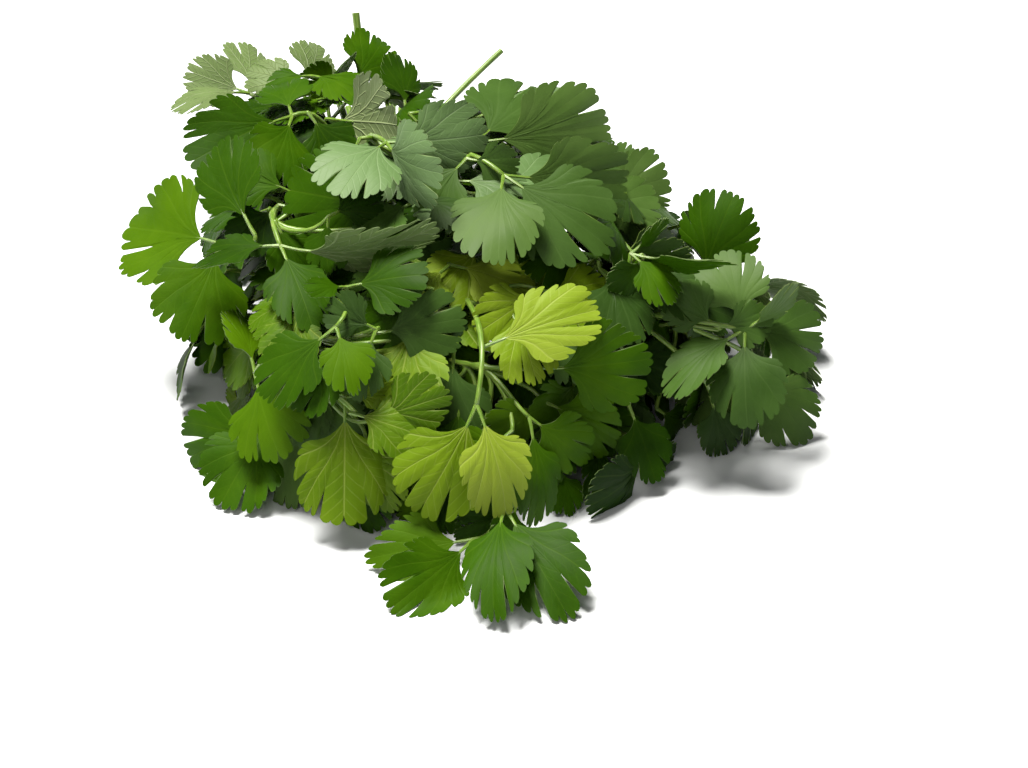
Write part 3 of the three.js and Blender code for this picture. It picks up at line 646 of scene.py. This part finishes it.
# Meshes are gathered as points, four-cornered faces, a material for each face and a place on the
# leaf for each corner, which the materials draw the veins from
class Gathered:
    def __init__(self):
        self.points, self.faces, self.finishes, self.corners, self.tones, self.count = [], [], [], [], [], 0

    def add(self, points, faces, finish, corners=None, tone=0.5):
        self.points.append(points)
        self.faces.append(faces + self.count)
        self.finishes.append(np.zeros(len(faces), int) + finish)
        self.corners.append(np.zeros((len(faces), 4, 2)) if corners is None else corners)
        self.tones.append(np.full(len(points), tone))
        self.count += len(points)

    def mesh(self, name):
        middle = np.array([*bunch["middle"], 0.0])
        points = (np.vstack(self.points) - middle) / 1000
        faces = np.vstack(self.faces)
        mesh = bpy.data.meshes.new(name)
        mesh.vertices.add(len(points))
        mesh.vertices.foreach_set("co", points.astype(np.float32).ravel())
        mesh.loops.add(faces.size)
        mesh.loops.foreach_set("vertex_index", faces.ravel().astype(np.int32))
        mesh.polygons.add(len(faces))
        mesh.polygons.foreach_set("loop_start", np.arange(0, faces.size, 4, dtype=np.int32))
        mesh.polygons.foreach_set("material_index", np.concatenate(self.finishes).astype(np.int32))
        mesh.polygons.foreach_set("use_smooth", np.ones(len(faces), bool))
        onLeaf = mesh.uv_layers.new(name="onLeaf")
        onLeaf.data.foreach_set("uv", np.vstack(self.corners).astype(np.float32).ravel())
        tone = mesh.attributes.new("tone", "FLOAT", "POINT")
        tone.data.foreach_set("value", np.concatenate(self.tones).astype(np.float32))
        mesh.update(calc_edges=True)
        mesh.validate()
        mesh.set_sharp_from_angle(angle=math.radians(55))
        return mesh


topFinish, underFinish, stemFinish, cutFinish = range(4)

stalkLook = {
    "sides": 10,
    "stepLength": 3.0,  # mm between rings
    "ridge": 0.035,  # shallow ribs along a stem
    "ribs": 5,
    "sheath": 0.35,  # how much a stalk widens where it leaves the main stem
    "sheathShort": 7,
    "hollow": 0.42,  # radius of the hole in a cut end
    "hollowDeep": 1.6,
    "tip": (0.4, 0.55),  # how far the closed end stands out, and its radius
    "swell": 0.16, "swellLong": 2.5,  # where a side stalk leaves
    "lowest": 0.02, "onFloor": 0.75,  # a lying stalk's middle, in radii above the floor
    "skinLong": 0.3,  # the skin's streaks from ring to ring
}


# A closed stalk through points, with a radius at each: ribbed, and hollow at a cut end
def addStalk(gathered, points, radii, cutOpen=False, phase=0.0, tone=0.5, sides=stalkLook["sides"]):
    ways = np.gradient(points, axis=0)
    ways /= np.linalg.norm(ways, axis=1, keepdims=True)
    hole, deep = radii[0] * stalkLook["hollow"], ways[0] * stalkLook["hollowDeep"]
    before = [(points[0] + deep, hole * 0.9), (points[0], hole)] if cutOpen else []
    tipOut, tipSize = stalkLook["tip"]
    centres = np.vstack([p for p, _ in before] + [points, points[-1] + ways[-1] * radii[-1] * tipOut])
    sizes = np.concatenate([[r for _, r in before], radii, [radii[-1] * tipSize]])
    ways = np.vstack([ways[:1]] * len(before) + [ways, ways[-1:]])
    around = np.arange(sides) * 2 * math.pi / sides
    rib = 1 + stalkLook["ridge"] * np.cos(stalkLook["ribs"] * around + phase)
    side = upWay if abs(ways[0][2]) < 0.9 else bunchSide
    rings = []
    for centre, way, size in zip(centres, ways, sizes):
        side = unit(side - way * np.dot(side, way))
        ring = np.outer(np.cos(around), side) + np.outer(np.sin(around), np.cross(way, side))
        rings.append(centre + ring * (size * rib)[:, None])
    made = np.vstack(rings)
    made[:, 2] = np.maximum(made[:, 2], stalkLook["lowest"])
    i, k = (grid.ravel() for grid in np.meshgrid(np.arange(len(rings) - 1), np.arange(sides), indexing="ij"))
    nextK = (k + 1) % sides
    faces = np.stack([i * sides + k, i * sides + nextK, (i + 1) * sides + nextK, (i + 1) * sides + k], -1)
    onStalk = np.stack([np.stack([i, i, i + 1, i + 1], -1) * stalkLook["skinLong"],
                        np.stack([k, k + 1, k + 1, k], -1) / sides], -1)
    j = np.arange(sides // 2 - 1)  # the two ends are closed with a few flat faces
    cap = np.stack([j, j + 1, sides - 2 - j, sides - 1 - j], -1)
    faces = np.vstack([faces, cap[:, ::-1], cap + len(made) - sides])
    onStalk = np.concatenate([onStalk, np.zeros((2 * len(cap), 4, 2))])
    cut = np.concatenate([i < len(before), np.full(len(cap), cutOpen), np.full(len(cap), False)])
    gathered.add(made, faces, np.where(cut, cutFinish, stemFinish), onStalk, tone)


def addMainStem(gathered, stem, rng):
    main = stem["main"]
    behind, ahead = curveLength(main["behind"]), curveLength(main["ahead"])
    back = np.linspace(0, 1, math.ceil(behind / stalkLook["stepLength"]), endpoint=False)
    fore = np.linspace(0, 1, math.ceil(ahead / stalkLook["stepLength"]) + 1)
    points = np.vstack([along(main["behind"], back), along(main["ahead"], fore)])
    radii = np.concatenate([mix(stemSizes["cut"], stemSizes["neck"], back),
                            mix(stemSizes["neck"], stemSizes["tip"], fore)])
    radii = radii * stem["thick"] * stemSizes["dressed"]
    for stalk in stem["stalks"]:  # a slight swelling at each place where a stalk leaves
        away = (fore - stalk["share"]) * ahead / stalkLook["swellLong"]
        radii[len(back):] *= 1 + stalkLook["swell"] * np.exp(-away ** 2)
    points[:, 2] = np.maximum(points[:, 2], stalkLook["onFloor"] * radii)
    addStalk(gathered, points, radii, cutOpen=True, phase=rng.uniform(0, 6), tone=rng.uniform(0.2, 0.8))


def addSideStalk(gathered, stalk, rng):
    shares = np.linspace(0, 1, math.ceil(curveLength(stalk["curve"]) / stalkLook["stepLength"]) + 2)
    root, leaving, coming, joint = stalk["curve"]
    points = along([root, leaving + stalk["sag"], coming + stalk["sag"], joint], shares)
    radii = mix(stemSizes["root"], stemSizes["end"], shares) * stemSizes["dressed"]
    radii = radii * (1 + stalkLook["sheath"] * np.exp(-(shares * stalkLook["sheathShort"]) ** 2))
    points[:, 2] = np.maximum(points[:, 2], stalkLook["onFloor"] * radii)
    addStalk(gathered, points, radii, phase=rng.uniform(0, 6), tone=rng.uniform(0.3, 0.9))


leafLook = {
    "thick": 0.32, "thinRim": 0.5,  # mm, and how much thinner it gets towards the rim
    "grow": (1.06, 1.13),  # a fine leaflet is this much longer and wider than its solid
    "rings": 5, "insideRings": 3, "ringsOut": 0.82,
    "start": 0.02,  # where the blade starts, from the top of its little stalk
    "teeth": {5: 4, 3: 6},  # round teeth along each lobe's rim
    "toothDeep": 0.062, "toothVaries": (0.6, 1.25),
    "toothPlaces": [0.0, 0.09, 0.27, 0.5, 0.73, 0.91],  # columns across one tooth
    "insidePlaces": [0.0, 0.25, 0.75],
    "besideCleft": [0.02, 0.05], "columnGap": 0.009,
    "lobeVaries": 0.16, "lobeBow": 0.04, "lobeReach": (0.93, 1.06),
    "corner": 0.06,  # how far a lobe's corners are rounded back
    "slitHalf": math.radians(1.4),  # half width of a cleft
    "cleftShare": {5: (0.25, 0.85), 3: (0.35, 0.95)},  # of the solids' clefts
    "gap": (0.4, 2.4), "gape": (0.0, 0.5),  # how far a cleft opens behind its mouth and at it
    "subCleft": {5: 1, 3: 2},  # deeper notches in a lobe, and how deep
    "subDeep": (0.02, 0.11),
    "waist": 0.62,  # share of its spread that a leaflet has at its base
    "flare": 1.03,  # and at its rim
    "pleat": 0.0015, "youngPleat": 0.004,  # the blade bulges between the veins
    "curl": 0.12, "curls": (-1, 0.6), "curlFrom": 0.32,  # how far lobes bend up or down at the rim
    "wave": 0.017, "waves": 7,
    # Leaves inside the heap get painted shade: their tone is lowered by this much for the shadow deep in the heap.
    "paintedShadeInside": 0.35, "edgeVein": 0.2,
    "stalkHalf": 0.5, "stalkRadii": [1.3, 1.1, 1.0, 0.9, 0.72, 0.5], "stalkUnder": 0.12, "stalkDrop": 0.45,
    "stalkSides": 6, "stalkTone": 0.8,
}


def smooth(low, high, x):
    t = np.clip((x - low) / (high - low), 0, 1)
    return t * t * (3 - 2 * t)


def addFaces(gathered, faces, finish, corners):  # between points that are there already
    gathered.faces.append(faces)
    gathered.finishes.append(np.full(len(faces), finish))
    gathered.corners.append(corners)


# A leaflet: a grid of columns that fan out over its lobes and rings from its base to its rim,
# once for the upper face and once for the underside, joined all round
def addLeaflet(gathered, blade, rng, inside):
    longer, wider = leafLook["grow"]
    blade["length"] *= longer
    blade["width"] *= wider / longer
    lobes = blade["lobes"]
    inner, fanHalf = leaflet["petiolule"], leaflet["fanHalf"]
    lobeAngle = 2 * fanHalf / lobes
    teeth = leafLook["teeth"][lobes]

    places = leafLook["insidePlaces" if inside else "toothPlaces"]
    beside = np.array(leafLook["besideCleft"][1 if inside else 0:])
    across = np.unique(np.concatenate([(np.arange(teeth)[:, None] + places).ravel() / teeth, beside, 1 - beside]))
    across = across[np.append(True, np.diff(across) > leafLook["columnGap"])]
    lobe = np.append(np.repeat(np.arange(lobes), len(across)), lobes - 1)
    share = np.append(np.tile(across, lobes), 1.0)
    varies, bow = leafLook["lobeVaries"], leafLook["lobeBow"]
    uneven = np.concatenate([[0], rng.uniform(-varies, varies, lobes - 1), [0]])
    edges = (np.arange(lobes + 1) + uneven) * lobeAngle
    bowed = share + rng.uniform(-bow, bow, lobes)[lobe] * np.sin(2 * math.pi * share)
    angle = -fanHalf + mix(edges[lobe], edges[lobe + 1], bowed)

    clefts = np.array(leaflet["clefts"][lobes]) * rng.uniform(*leafLook["cleftShare"][lobes], lobes - 1)
    depths = np.concatenate([[0], clefts, [0]])
    fromCleft = np.minimum(share, 1 - share)
    edge = fromCleft * lobeAngle
    cleftOf = np.where(share < 0.5, lobe, lobe + 1)
    slit = depths[cleftOf] * (1 - smooth(0.15, 1.0, edge / leafLook["slitHalf"]))
    cornered = leafLook["corner"] * np.abs(2 * share - 1) ** 4
    notches = leafLook["toothDeep"] * rng.uniform(*leafLook["toothVaries"], (lobes, teeth + 1))
    deepened = leafLook["subCleft"][lobes]
    for at in range(lobes):  # some notches are deeper, so a lobe has lobes of its own
        for deeper in range(deepened):
            middle = teeth * (deeper + 1) / (deepened + 1)
            notches[at, int(middle + rng.integers(0, 2))] += rng.uniform(*leafLook["subDeep"])
    tooth = np.minimum((share * teeth + 1e-6).astype(int), teeth - 1)
    within = share * teeth - tooth
    scallop = notches[lobe, tooth + (within > 0.5)] * (1 - np.abs(np.sin(math.pi * within)) ** 0.5)
    reach = rng.uniform(*leafLook["lobeReach"], lobes)[lobe]
    outer = (1 - inner) * np.cos(angle) ** leaflet["fanRound"]
    rim = outer * (1 - slit) * (1 - cornered) * (1 - scallop) * mix(1, reach, smooth(0, 0.2, edge))

    ringCount = leafLook["insideRings" if inside else "rings"]
    ringShare = (np.arange(ringCount + 1) / ringCount) ** leafLook["ringsOut"]
    r = leafLook["start"] + (rim[:, None] - leafLook["start"]) * ringShare[None, :]
    # A lobe is narrower just beyond the cleft's end than at its rim, and the whole leaflet at its base
    bottom = (outer * (1 - depths[cleftOf]))[:, None]
    beyond = np.clip((r - bottom) / (outer[:, None] - bottom + 1e-6), 0, 1)
    gaps = np.concatenate([[0], np.radians(rng.uniform(*leafLook["gap"], lobes - 1)), [0]])
    gapes = rng.uniform(*leafLook["gape"], lobes + 1)
    aside = gaps[cleftOf] * np.where(share < 0.5, 1, -1) * (1 - 2 * fromCleft) ** 1.6
    shut = np.sin(math.pi * beyond ** 0.7) + gapes[cleftOf][:, None] * beyond
    spread = mix(leafLook["waist"], leafLook["flare"], smooth(0.02, 0.55, r))
    angles = (angle[:, None] + aside[:, None] * shut) * spread
    forward, sideways = inner + r * np.cos(angles), r * np.sin(angles)

    veinSide = np.sin(2 * math.pi * fromCleft)[:, None] ** 2
    curls = rng.uniform(*leafLook["curls"], lobes)
    curl = np.interp(lobe + share, np.arange(lobes) + 0.5, curls)[:, None]
    rise = leafLook["youngPleat" if blade["young"] else "pleat"] * veinSide * smooth(0.05, 0.45, r)
    rise = rise + leafLook["curl"] * curl * np.maximum(r - leafLook["curlFrom"], 0) ** 2
    rise = rise + leafLook["wave"] * np.sin(angles * leafLook["waves"] + blade["phase"]) * smooth(0.35, 0.8, r)
    centre = bladePoints(blade, forward.ravel(), sideways.ravel(), rise.ravel() * blade["length"])
    centre = centre.reshape(*r.shape, 3)
    normal = np.cross(np.gradient(centre, axis=1), np.gradient(centre, axis=0))
    normal /= np.linalg.norm(normal, axis=2, keepdims=True) + 1e-12
    half = leafLook["thick"] / 2 * (1 - leafLook["thinRim"] * ringShare[None, :, None] ** 3)
    upper, lower = centre + normal * half, centre - normal * half
    sunk = np.minimum(0, np.minimum(upper[..., 2], lower[..., 2]) - 0.05)  # nothing goes into the floor
    upper[..., 2] -= sunk
    lower[..., 2] -= sunk

    columns, wide = r.shape
    i, k = np.meshgrid(np.arange(columns - 1), np.arange(wide - 1), indexing="ij")
    a, b = i * wide + k, (i + 1) * wide + k
    faces = np.stack([a + 1, b + 1, b, a], -1).reshape(-1, 4)
    nextShare = np.where(share[1:] == 0, 1.0, share[1:])
    fromMiddle = np.stack([share[:-1] - 0.5, nextShare - 0.5, nextShare - 0.5, share[:-1] - 0.5], -1) * lobeAngle
    radial = np.stack([r[:-1, :-1], r[1:, :-1], r[1:, 1:], r[:-1, 1:]], -1)
    corners = np.stack([radial, radial * fromMiddle[:, None, :]], -1).reshape(-1, 4, 2)[:, ::-1]
    # A leaf inside the heap is painted darker, a painted shade for the shadow deep in the heap.
    tone = rng.uniform(0, 1) + blade["tone"] - (leafLook["paintedShadeInside"] if inside else 0)
    above, below = (underFinish, topFinish) if blade["faceDown"] else (topFinish, underFinish)
    first, size = gathered.count, columns * wide
    gathered.add(upper.reshape(-1, 3), faces, above, corners, tone)
    gathered.add(lower.reshape(-1, 3), faces[:, ::-1], below, corners[:, ::-1], tone)
    around = np.concatenate([np.arange(columns) * wide + wide - 1,
                             (columns - 1) * wide + np.arange(wide - 2, -1, -1),
                             np.arange(columns - 2, -1, -1) * wide, np.arange(1, wide - 1)])
    after, onEdge = np.roll(around, -1), np.full((len(around), 4, 2), leafLook["edgeVein"])
    onEdge[..., 0] = r.ravel()[around][:, None]
    edgeFaces = np.stack([after, around, around + size, after + size], -1) + first
    addFaces(gathered, edgeFaces, underFinish, onEdge)

    shares = np.linspace(0, 1, len(leafLook["stalkRadii"]))  # the leaflet's own little stalk
    stalk = bladePoints(blade, shares * (inner + leafLook["stalkUnder"]), np.zeros(len(shares)),
                        -leafLook["stalkDrop"] * shares ** 2)
    stalk[:, 2] = np.maximum(stalk[:, 2], leafLook["stalkHalf"])
    addStalk(gathered, stalk, leafLook["stalkHalf"] * np.array(leafLook["stalkRadii"]),
             tone=leafLook["stalkTone"], sides=leafLook["stalkSides"])


def colour(red, green, blue):  # from screen values of 0 to 255
    shares = [value / 255 for value in (red, green, blue)]
    return tuple(((c + 0.055) / 1.055) ** 2.4 if c > 0.04 else c / 12.92 for c in shares) + (1,)


def darker(shade, share):
    return tuple(c * share for c in shade[:3]) + (1,)


# A finish is made of nodes. A value that goes into a node is a number, a colour or another node's output.
class Finish:
    def __init__(self, name):
        self.material = bpy.data.materials.new(name)
        self.material.use_nodes = True
        self.tree = self.material.node_tree
        self.shader = self.tree.nodes["Principled BSDF"]

    def node(self, kind, values=None):
        made = self.tree.nodes.new("ShaderNode" + kind)
        self.put(made, values or {})
        return made

    def put(self, node, values):
        for name, value in values.items():
            if hasattr(value, "links"):
                self.tree.links.new(value, node.inputs[name])
            else:
                node.inputs[name].default_value = value

    def math(self, operation, *values, clamp=False):
        made = self.node("Math", dict(enumerate(values)))
        made.operation, made.use_clamp = operation, clamp
        return made.outputs[0]

    def blend(self, share, first, second):
        made = self.node("Mix")
        made.data_type = "RGBA"
        self.put(made, {0: share, 6: first, 7: second})
        return made.outputs[2]

    def ramp(self, source, stops):
        made = self.node("ValToRGB", {0: source})
        while len(made.color_ramp.elements) < len(stops):
            made.color_ramp.elements.new(0.5)
        for element, (place, shade) in zip(made.color_ramp.elements, stops):
            element.position, element.color = place, colour(*shade)
        return made.outputs[0]

    def onLeaf(self):
        made = self.node("UVMap")
        made.uv_map = "onLeaf"
        return made.outputs[0]

    def noise(self, scale, detail=2, place=None):
        if place is None:
            place = self.node("TexCoord").outputs["Object"]
        return self.node("TexNoise", {"Vector": place, "Scale": scale, "Detail": detail}).outputs[0]

    def relief(self, height, strength, distance):  # a bump on the shader, which other nodes may use too
        made = self.node("Bump", {"Height": height, "Strength": strength, "Distance": distance}).outputs[0]
        self.put(self.shader, {"Normal": made})
        return made


veinLook = {
    "wide": 0.0155, "taper": -0.010,  # a main vein at its base, and how it narrows
    "slant": -1.15, "count": 10.5, "thin": 9.0, "faint": 0.6,  # the side veins
}


# Veins from the leaflet's own places: a main one along each lobe, and side ones forward from it
def veinsOf(finish):
    parts = finish.node("SeparateXYZ", {0: finish.onLeaf()})
    out, aside = parts.outputs[0], finish.math("ABSOLUTE", parts.outputs[1])
    thin = finish.math("MULTIPLY_ADD", out, veinLook["taper"], veinLook["wide"])
    main = finish.math("SUBTRACT", 1.0, finish.math("DIVIDE", aside, thin), clamp=True)
    slant = finish.math("MULTIPLY_ADD", aside, veinLook["slant"], out)
    swing = finish.math("PINGPONG", finish.math("MULTIPLY", slant, veinLook["count"]), 0.5)
    side = finish.math("SUBTRACT", 1.0, finish.math("MULTIPLY", swing, veinLook["thin"]), clamp=True)
    return main, finish.math("MULTIPLY", side, veinLook["faint"])


leafShades = {
    "usual": {"deep": (18, 42, 0), "mid": (46, 80, 0), "light": (80, 114, 4), "vein": (98, 130, 28),
              "under": (104, 126, 72), "underVein": (136, 154, 104), "glow": (104, 148, 0), "through": 0.24,
              "veined": 0.14, "sheen": 0.0, "gloss": 0.08},
    "dark": {"deep": (34, 58, 14), "mid": (58, 86, 30), "light": (86, 112, 54), "vein": (98, 124, 66),
             "under": (90, 112, 44), "underVein": (124, 146, 78), "glow": (98, 134, 0), "through": 0.2,
             "veined": 0.10, "sheen": 0.02, "gloss": 0.15},
    # This set is painted sheen: its pale grey-green stands for the light's reflection on leaves that face up.
    "paintedSheen": {"deep": (70, 98, 48), "mid": (94, 122, 74), "light": (122, 148, 104), "vein": (136, 158, 116),
             "under": (118, 136, 88), "underVein": (146, 160, 116), "glow": (110, 144, 30), "through": 0.18,
             "veined": 0.3, "sheen": 0.05, "gloss": 0.3},
    "young": {"deep": (66, 98, 0), "mid": (108, 136, 14), "light": (142, 162, 52), "vein": (176, 188, 100),
              "under": (130, 152, 56), "underVein": (166, 180, 100), "glow": (146, 172, 4), "through": 0.3,
              "veined": 0.32, "sheen": 0.0, "gloss": 0.15},
}
topLook = {
    "mottle": 90, "mottleDetail": 4, "mottleShare": 0.5, "toneShare": 0.55, "toneLeast": -0.05,
    "sideVeins": 0.55, "cells": 900, "cellShare": 0.35, "veinsSunk": 0.00035, "sheenRough": 0.4,
    "rough": 0.42, "roughVaries": 0.2,
}
underLook = {
    "mottle": 160, "mottleDark": 0.72, "veined": 0.7, "veinsOut": 0.0004,
    "rough": 0.5, "roughVaries": 0.15, "gloss": 0.35,
}


def leafTop(green):
    shades, look, finish = leafShades[green], topLook, Finish("leafTop_" + green)
    main, side = veinsOf(finish)
    tone = finish.node("Attribute")
    tone.attribute_name = "tone"
    mottle = finish.noise(look["mottle"], look["mottleDetail"])
    toned = finish.math("MULTIPLY_ADD", tone.outputs["Fac"], look["toneShare"], look["toneLeast"])
    base = finish.ramp(finish.math("MULTIPLY_ADD", mottle, look["mottleShare"], toned),
                       [(0.0, shades["deep"]), (0.5, shades["mid"]), (1.0, shades["light"])])
    veins = finish.math("MAXIMUM", main, finish.math("MULTIPLY", side, look["sideVeins"]))
    veined = finish.math("MULTIPLY", veins, shades["veined"])
    cells = finish.math("MULTIPLY", finish.noise(look["cells"]), look["cellShare"])
    relief = finish.relief(finish.math("SUBTRACT", cells, veins), shades["veined"], look["veinsSunk"])
    finish.put(finish.shader, {
        "Base Color": finish.blend(veined, base, colour(*shades["vein"])),
        "Roughness": finish.math("MULTIPLY_ADD", mottle, look["roughVaries"], look["rough"]),
        "Specular IOR Level": shades["gloss"], "Sheen Weight": shades["sheen"],
        "Sheen Roughness": look["sheenRough"]})
    return letThrough(finish, shades, relief)


def leafUnder(green):
    shades, look, finish = leafShades[green], underLook, Finish("leafUnder_" + green)
    veins = finish.math("MAXIMUM", *veinsOf(finish))
    mottle, under = finish.noise(look["mottle"]), colour(*shades["under"])
    base = finish.blend(mottle, darker(under, look["mottleDark"]), under)
    relief = finish.relief(veins, look["veined"], look["veinsOut"])
    finish.put(finish.shader, {
        "Base Color": finish.blend(veins, base, colour(*shades["underVein"])),
        "Roughness": finish.math("MULTIPLY_ADD", mottle, look["roughVaries"], look["rough"]),
        "Specular IOR Level": look["gloss"]})
    return letThrough(finish, shades, relief)


# Some light comes through a leaf, and it is yellower than the light it gives back
def letThrough(finish, shades, relief):
    glow = finish.node("BsdfTranslucent", {"Color": colour(*shades["glow"]), "Normal": relief})
    both = finish.node("MixShader", {0: shades["through"], 1: finish.shader.outputs[0], 2: glow.outputs[0]})
    finish.put(finish.tree.nodes["Material Output"], {"Surface": both.outputs[0]})
    return finish.material


skinLook = {
    "stretch": (1.2, 14, 1), "streaks": 1.4, "streakDetail": 5, "depth": 0.0002, "strength": 0.5,
    "shades": [(0.3, (66, 98, 20)), (0.5, (92, 122, 38)), (0.72, (134, 152, 76))],
    "rough": 0.28, "roughVaries": 0.2, "soft": 0.25, "softReach": (0.6, 1.0, 0.2), "softDeep": 0.0012,
}
fleshLook = {
    "fibres": 1600, "fibreDetail": 3, "depth": 0.0002, "strength": 0.5, "rough": 0.55,
    "shades": [(0.3, (150, 150, 92)), (0.7, (206, 204, 156))],
}


def stemSkin():
    look, finish = skinLook, Finish("stemSkin")
    stretched = finish.node("Mapping", {0: finish.onLeaf(), "Scale": look["stretch"]}).outputs[0]
    streaks = finish.noise(look["streaks"], look["streakDetail"], stretched)
    finish.relief(streaks, look["strength"], look["depth"])
    finish.put(finish.shader, {
        "Base Color": finish.ramp(streaks, look["shades"]),
        "Roughness": finish.math("MULTIPLY_ADD", streaks, look["roughVaries"], look["rough"]),
        "Subsurface Weight": look["soft"], "Subsurface Radius": look["softReach"],
        "Subsurface Scale": look["softDeep"]})
    return finish.material


def cutFlesh():
    look, finish = fleshLook, Finish("cutFlesh")
    fibres = finish.noise(look["fibres"], look["fibreDetail"])
    finish.relief(fibres, look["strength"], look["depth"])
    finish.put(finish.shader, {"Base Color": finish.ramp(fibres, look["shades"]), "Roughness": look["rough"]})
    return finish.material


def addObject(name, data):
    made = bpy.data.objects.new(name, data)
    bpy.context.scene.collection.objects.link(made)
    return made


# How a leafy stem differs from the usual: its green, a finish unlike that green's, how light it is,
# which leaflets lie with their undersides up, and how much larger or smaller than their solids its
# leaflets are drawn, the last number for all the rest
pieceLooks = {
    "crown_right": {"green": "dark"},
    # crown_middle wears the painted sheen greys, a pale grey-green for reflected light, toned darker.
    "crown_middle": {"finish": "paintedSheen", "tone": -0.35, "grow": (1.4, 1.05, 1.4, 1.2, 1)},
    "far_right": {"green": "dark"},
    "pale_fans": {"green": "young", "tone": 0.3},
    "bright_right": {"tone": 0.45},
    "dark_middle": {"green": "dark"},
    "left_joint": {"turned": (0,)},
    "top_left": {"tone": 0.15, "turned": (3, 4)},
    "dark_left": {"tone": 0.2},
    "yellow_left": {"tone": 0.3},
    "round_front": {"green": "young", "tone": -0.75},
    "right_low": {"grow": (0.85,)},
    "right_cluster": {"finish": "dark"},
    "back_left": {"tone": 0.3, "turned": (0, 1, 2)},
    "back_middle": {"turned": (1,)},
    "under_left": {"tone": -0.1, "grow": (0.75,)},
    "under_right": {"tone": -0.3},
    "under_front": {"tone": -0.3, "grow": (0.75,)},
}
tops = {green: leafTop(green) for green in leafShades}
unders = {green: leafUnder(green) for green in leafShades}
skin, flesh = stemSkin(), cutFlesh()

for owner, stem in enumerate(stems):
    rng = np.random.default_rng(bunch["fineSeed"] + owner)
    looks = pieceLooks.get(stem["name"], {})
    green = looks.get("green", "usual")
    finish, grow = looks.get("finish", green), looks.get("grow", (1,))
    gathered = Gathered()
    addMainStem(gathered, stem, rng)
    for stalk in stem["stalks"]:
        addSideStalk(gathered, stalk, rng)
    for number, blade in enumerate(stem["blades"]):
        inside = blade.get("inside", False)
        if not inside:
            blade["length"] *= grow[min(number, len(grow) - 1)]
        blade.update(young=green == "young", tone=looks.get("tone", 0), faceDown=number in looks.get("turned", ()))
        addLeaflet(gathered, blade, rng, inside)
    piece = addObject(stem["name"], gathered.mesh(stem["name"]))
    for material in (tops[finish], unders[finish], skin, flesh):
        piece.data.materials.append(material)
    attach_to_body(piece, "root")
    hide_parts("leafy_stem_" + stem["name"])
    stem["triangles"] = 2 * len(piece.data.polygons)
print("stage 3: leafy stems made,", sum(stem["triangles"] for stem in stems), "triangles, most",
      max(stem["triangles"] for stem in stems))


studio = {
    "floorSize": 14.0, "floorShade": (208, 212, 220), "floorGrain": 300, "grainDark": 0.98, "floorRough": 0.8,
    "air": 0.09, "warmth": (1.0, 0.96, 0.86),
    "key": {"place": (-0.3, 0.2, 1.3), "soft": math.radians(22), "power": 9.6},
    "fill": {"place": (-0.5, -1.5, 1.3), "size": 1.2, "power": 10},
    "aim": (0, 0, 0.04),  # what the lights point at
    "lens": 125.02, "sensor": 36, "camera": (0.01365, -0.88979, 0.63481), "pitchDown": 36,
}


def makeFloor():
    half = studio["floorSize"] / 2
    corners = [(-half, -half, 0), (half, -half, 0), (half, half, 0), (-half, half, 0)]
    mesh = bpy.data.meshes.new("floor")
    mesh.from_pydata(corners, [], [(0, 1, 2, 3)])
    finish, shade = Finish("floorPaper"), colour(*studio["floorShade"])
    grain = finish.noise(studio["floorGrain"])
    finish.put(finish.shader, {"Base Color": finish.blend(grain, darker(shade, studio["grainDark"]), shade),
                               "Roughness": studio["floorRough"]})
    mesh.materials.append(finish.material)
    addObject("floor", mesh)


def addLight(name, kind, settings):
    light = bpy.data.lights.new(name, kind)
    light.energy, light.color = settings["power"], studio["warmth"]
    if kind == "SUN":
        light.angle = settings["soft"]
    else:
        light.shape, light.size = "DISK", settings["size"]
    lamp = addObject(name, light)
    lamp.location = settings["place"]
    away = np.array(settings["place"]) - studio["aim"]
    tilt = math.atan2(np.hypot(away[0], away[1]), away[2])
    lamp.rotation_euler = (tilt, 0, math.atan2(away[0], -away[1]))


def addCamera():
    lens = bpy.data.cameras.new("camera")
    lens.lens, lens.sensor_width = studio["lens"], studio["sensor"]
    camera = addObject("camera", lens)
    camera.location = studio["camera"]
    camera.rotation_euler = (math.radians(90 - studio["pitchDown"]), 0, 0)
    bpy.context.scene.camera = camera


makeFloor()
addLight("key", "SUN", studio["key"])
addLight("fill", "AREA", studio["fill"])
air = bpy.data.worlds.new("air")
air.use_nodes = True
air.node_tree.nodes["Background"].inputs[0].default_value = (1, 1, 1, 1)
air.node_tree.nodes["Background"].inputs[1].default_value = studio["air"]
bpy.context.scene.world = air
addCamera()
bpy.context.scene.view_settings.view_transform = "Standard"
print("stage 4: floor, lights and camera")
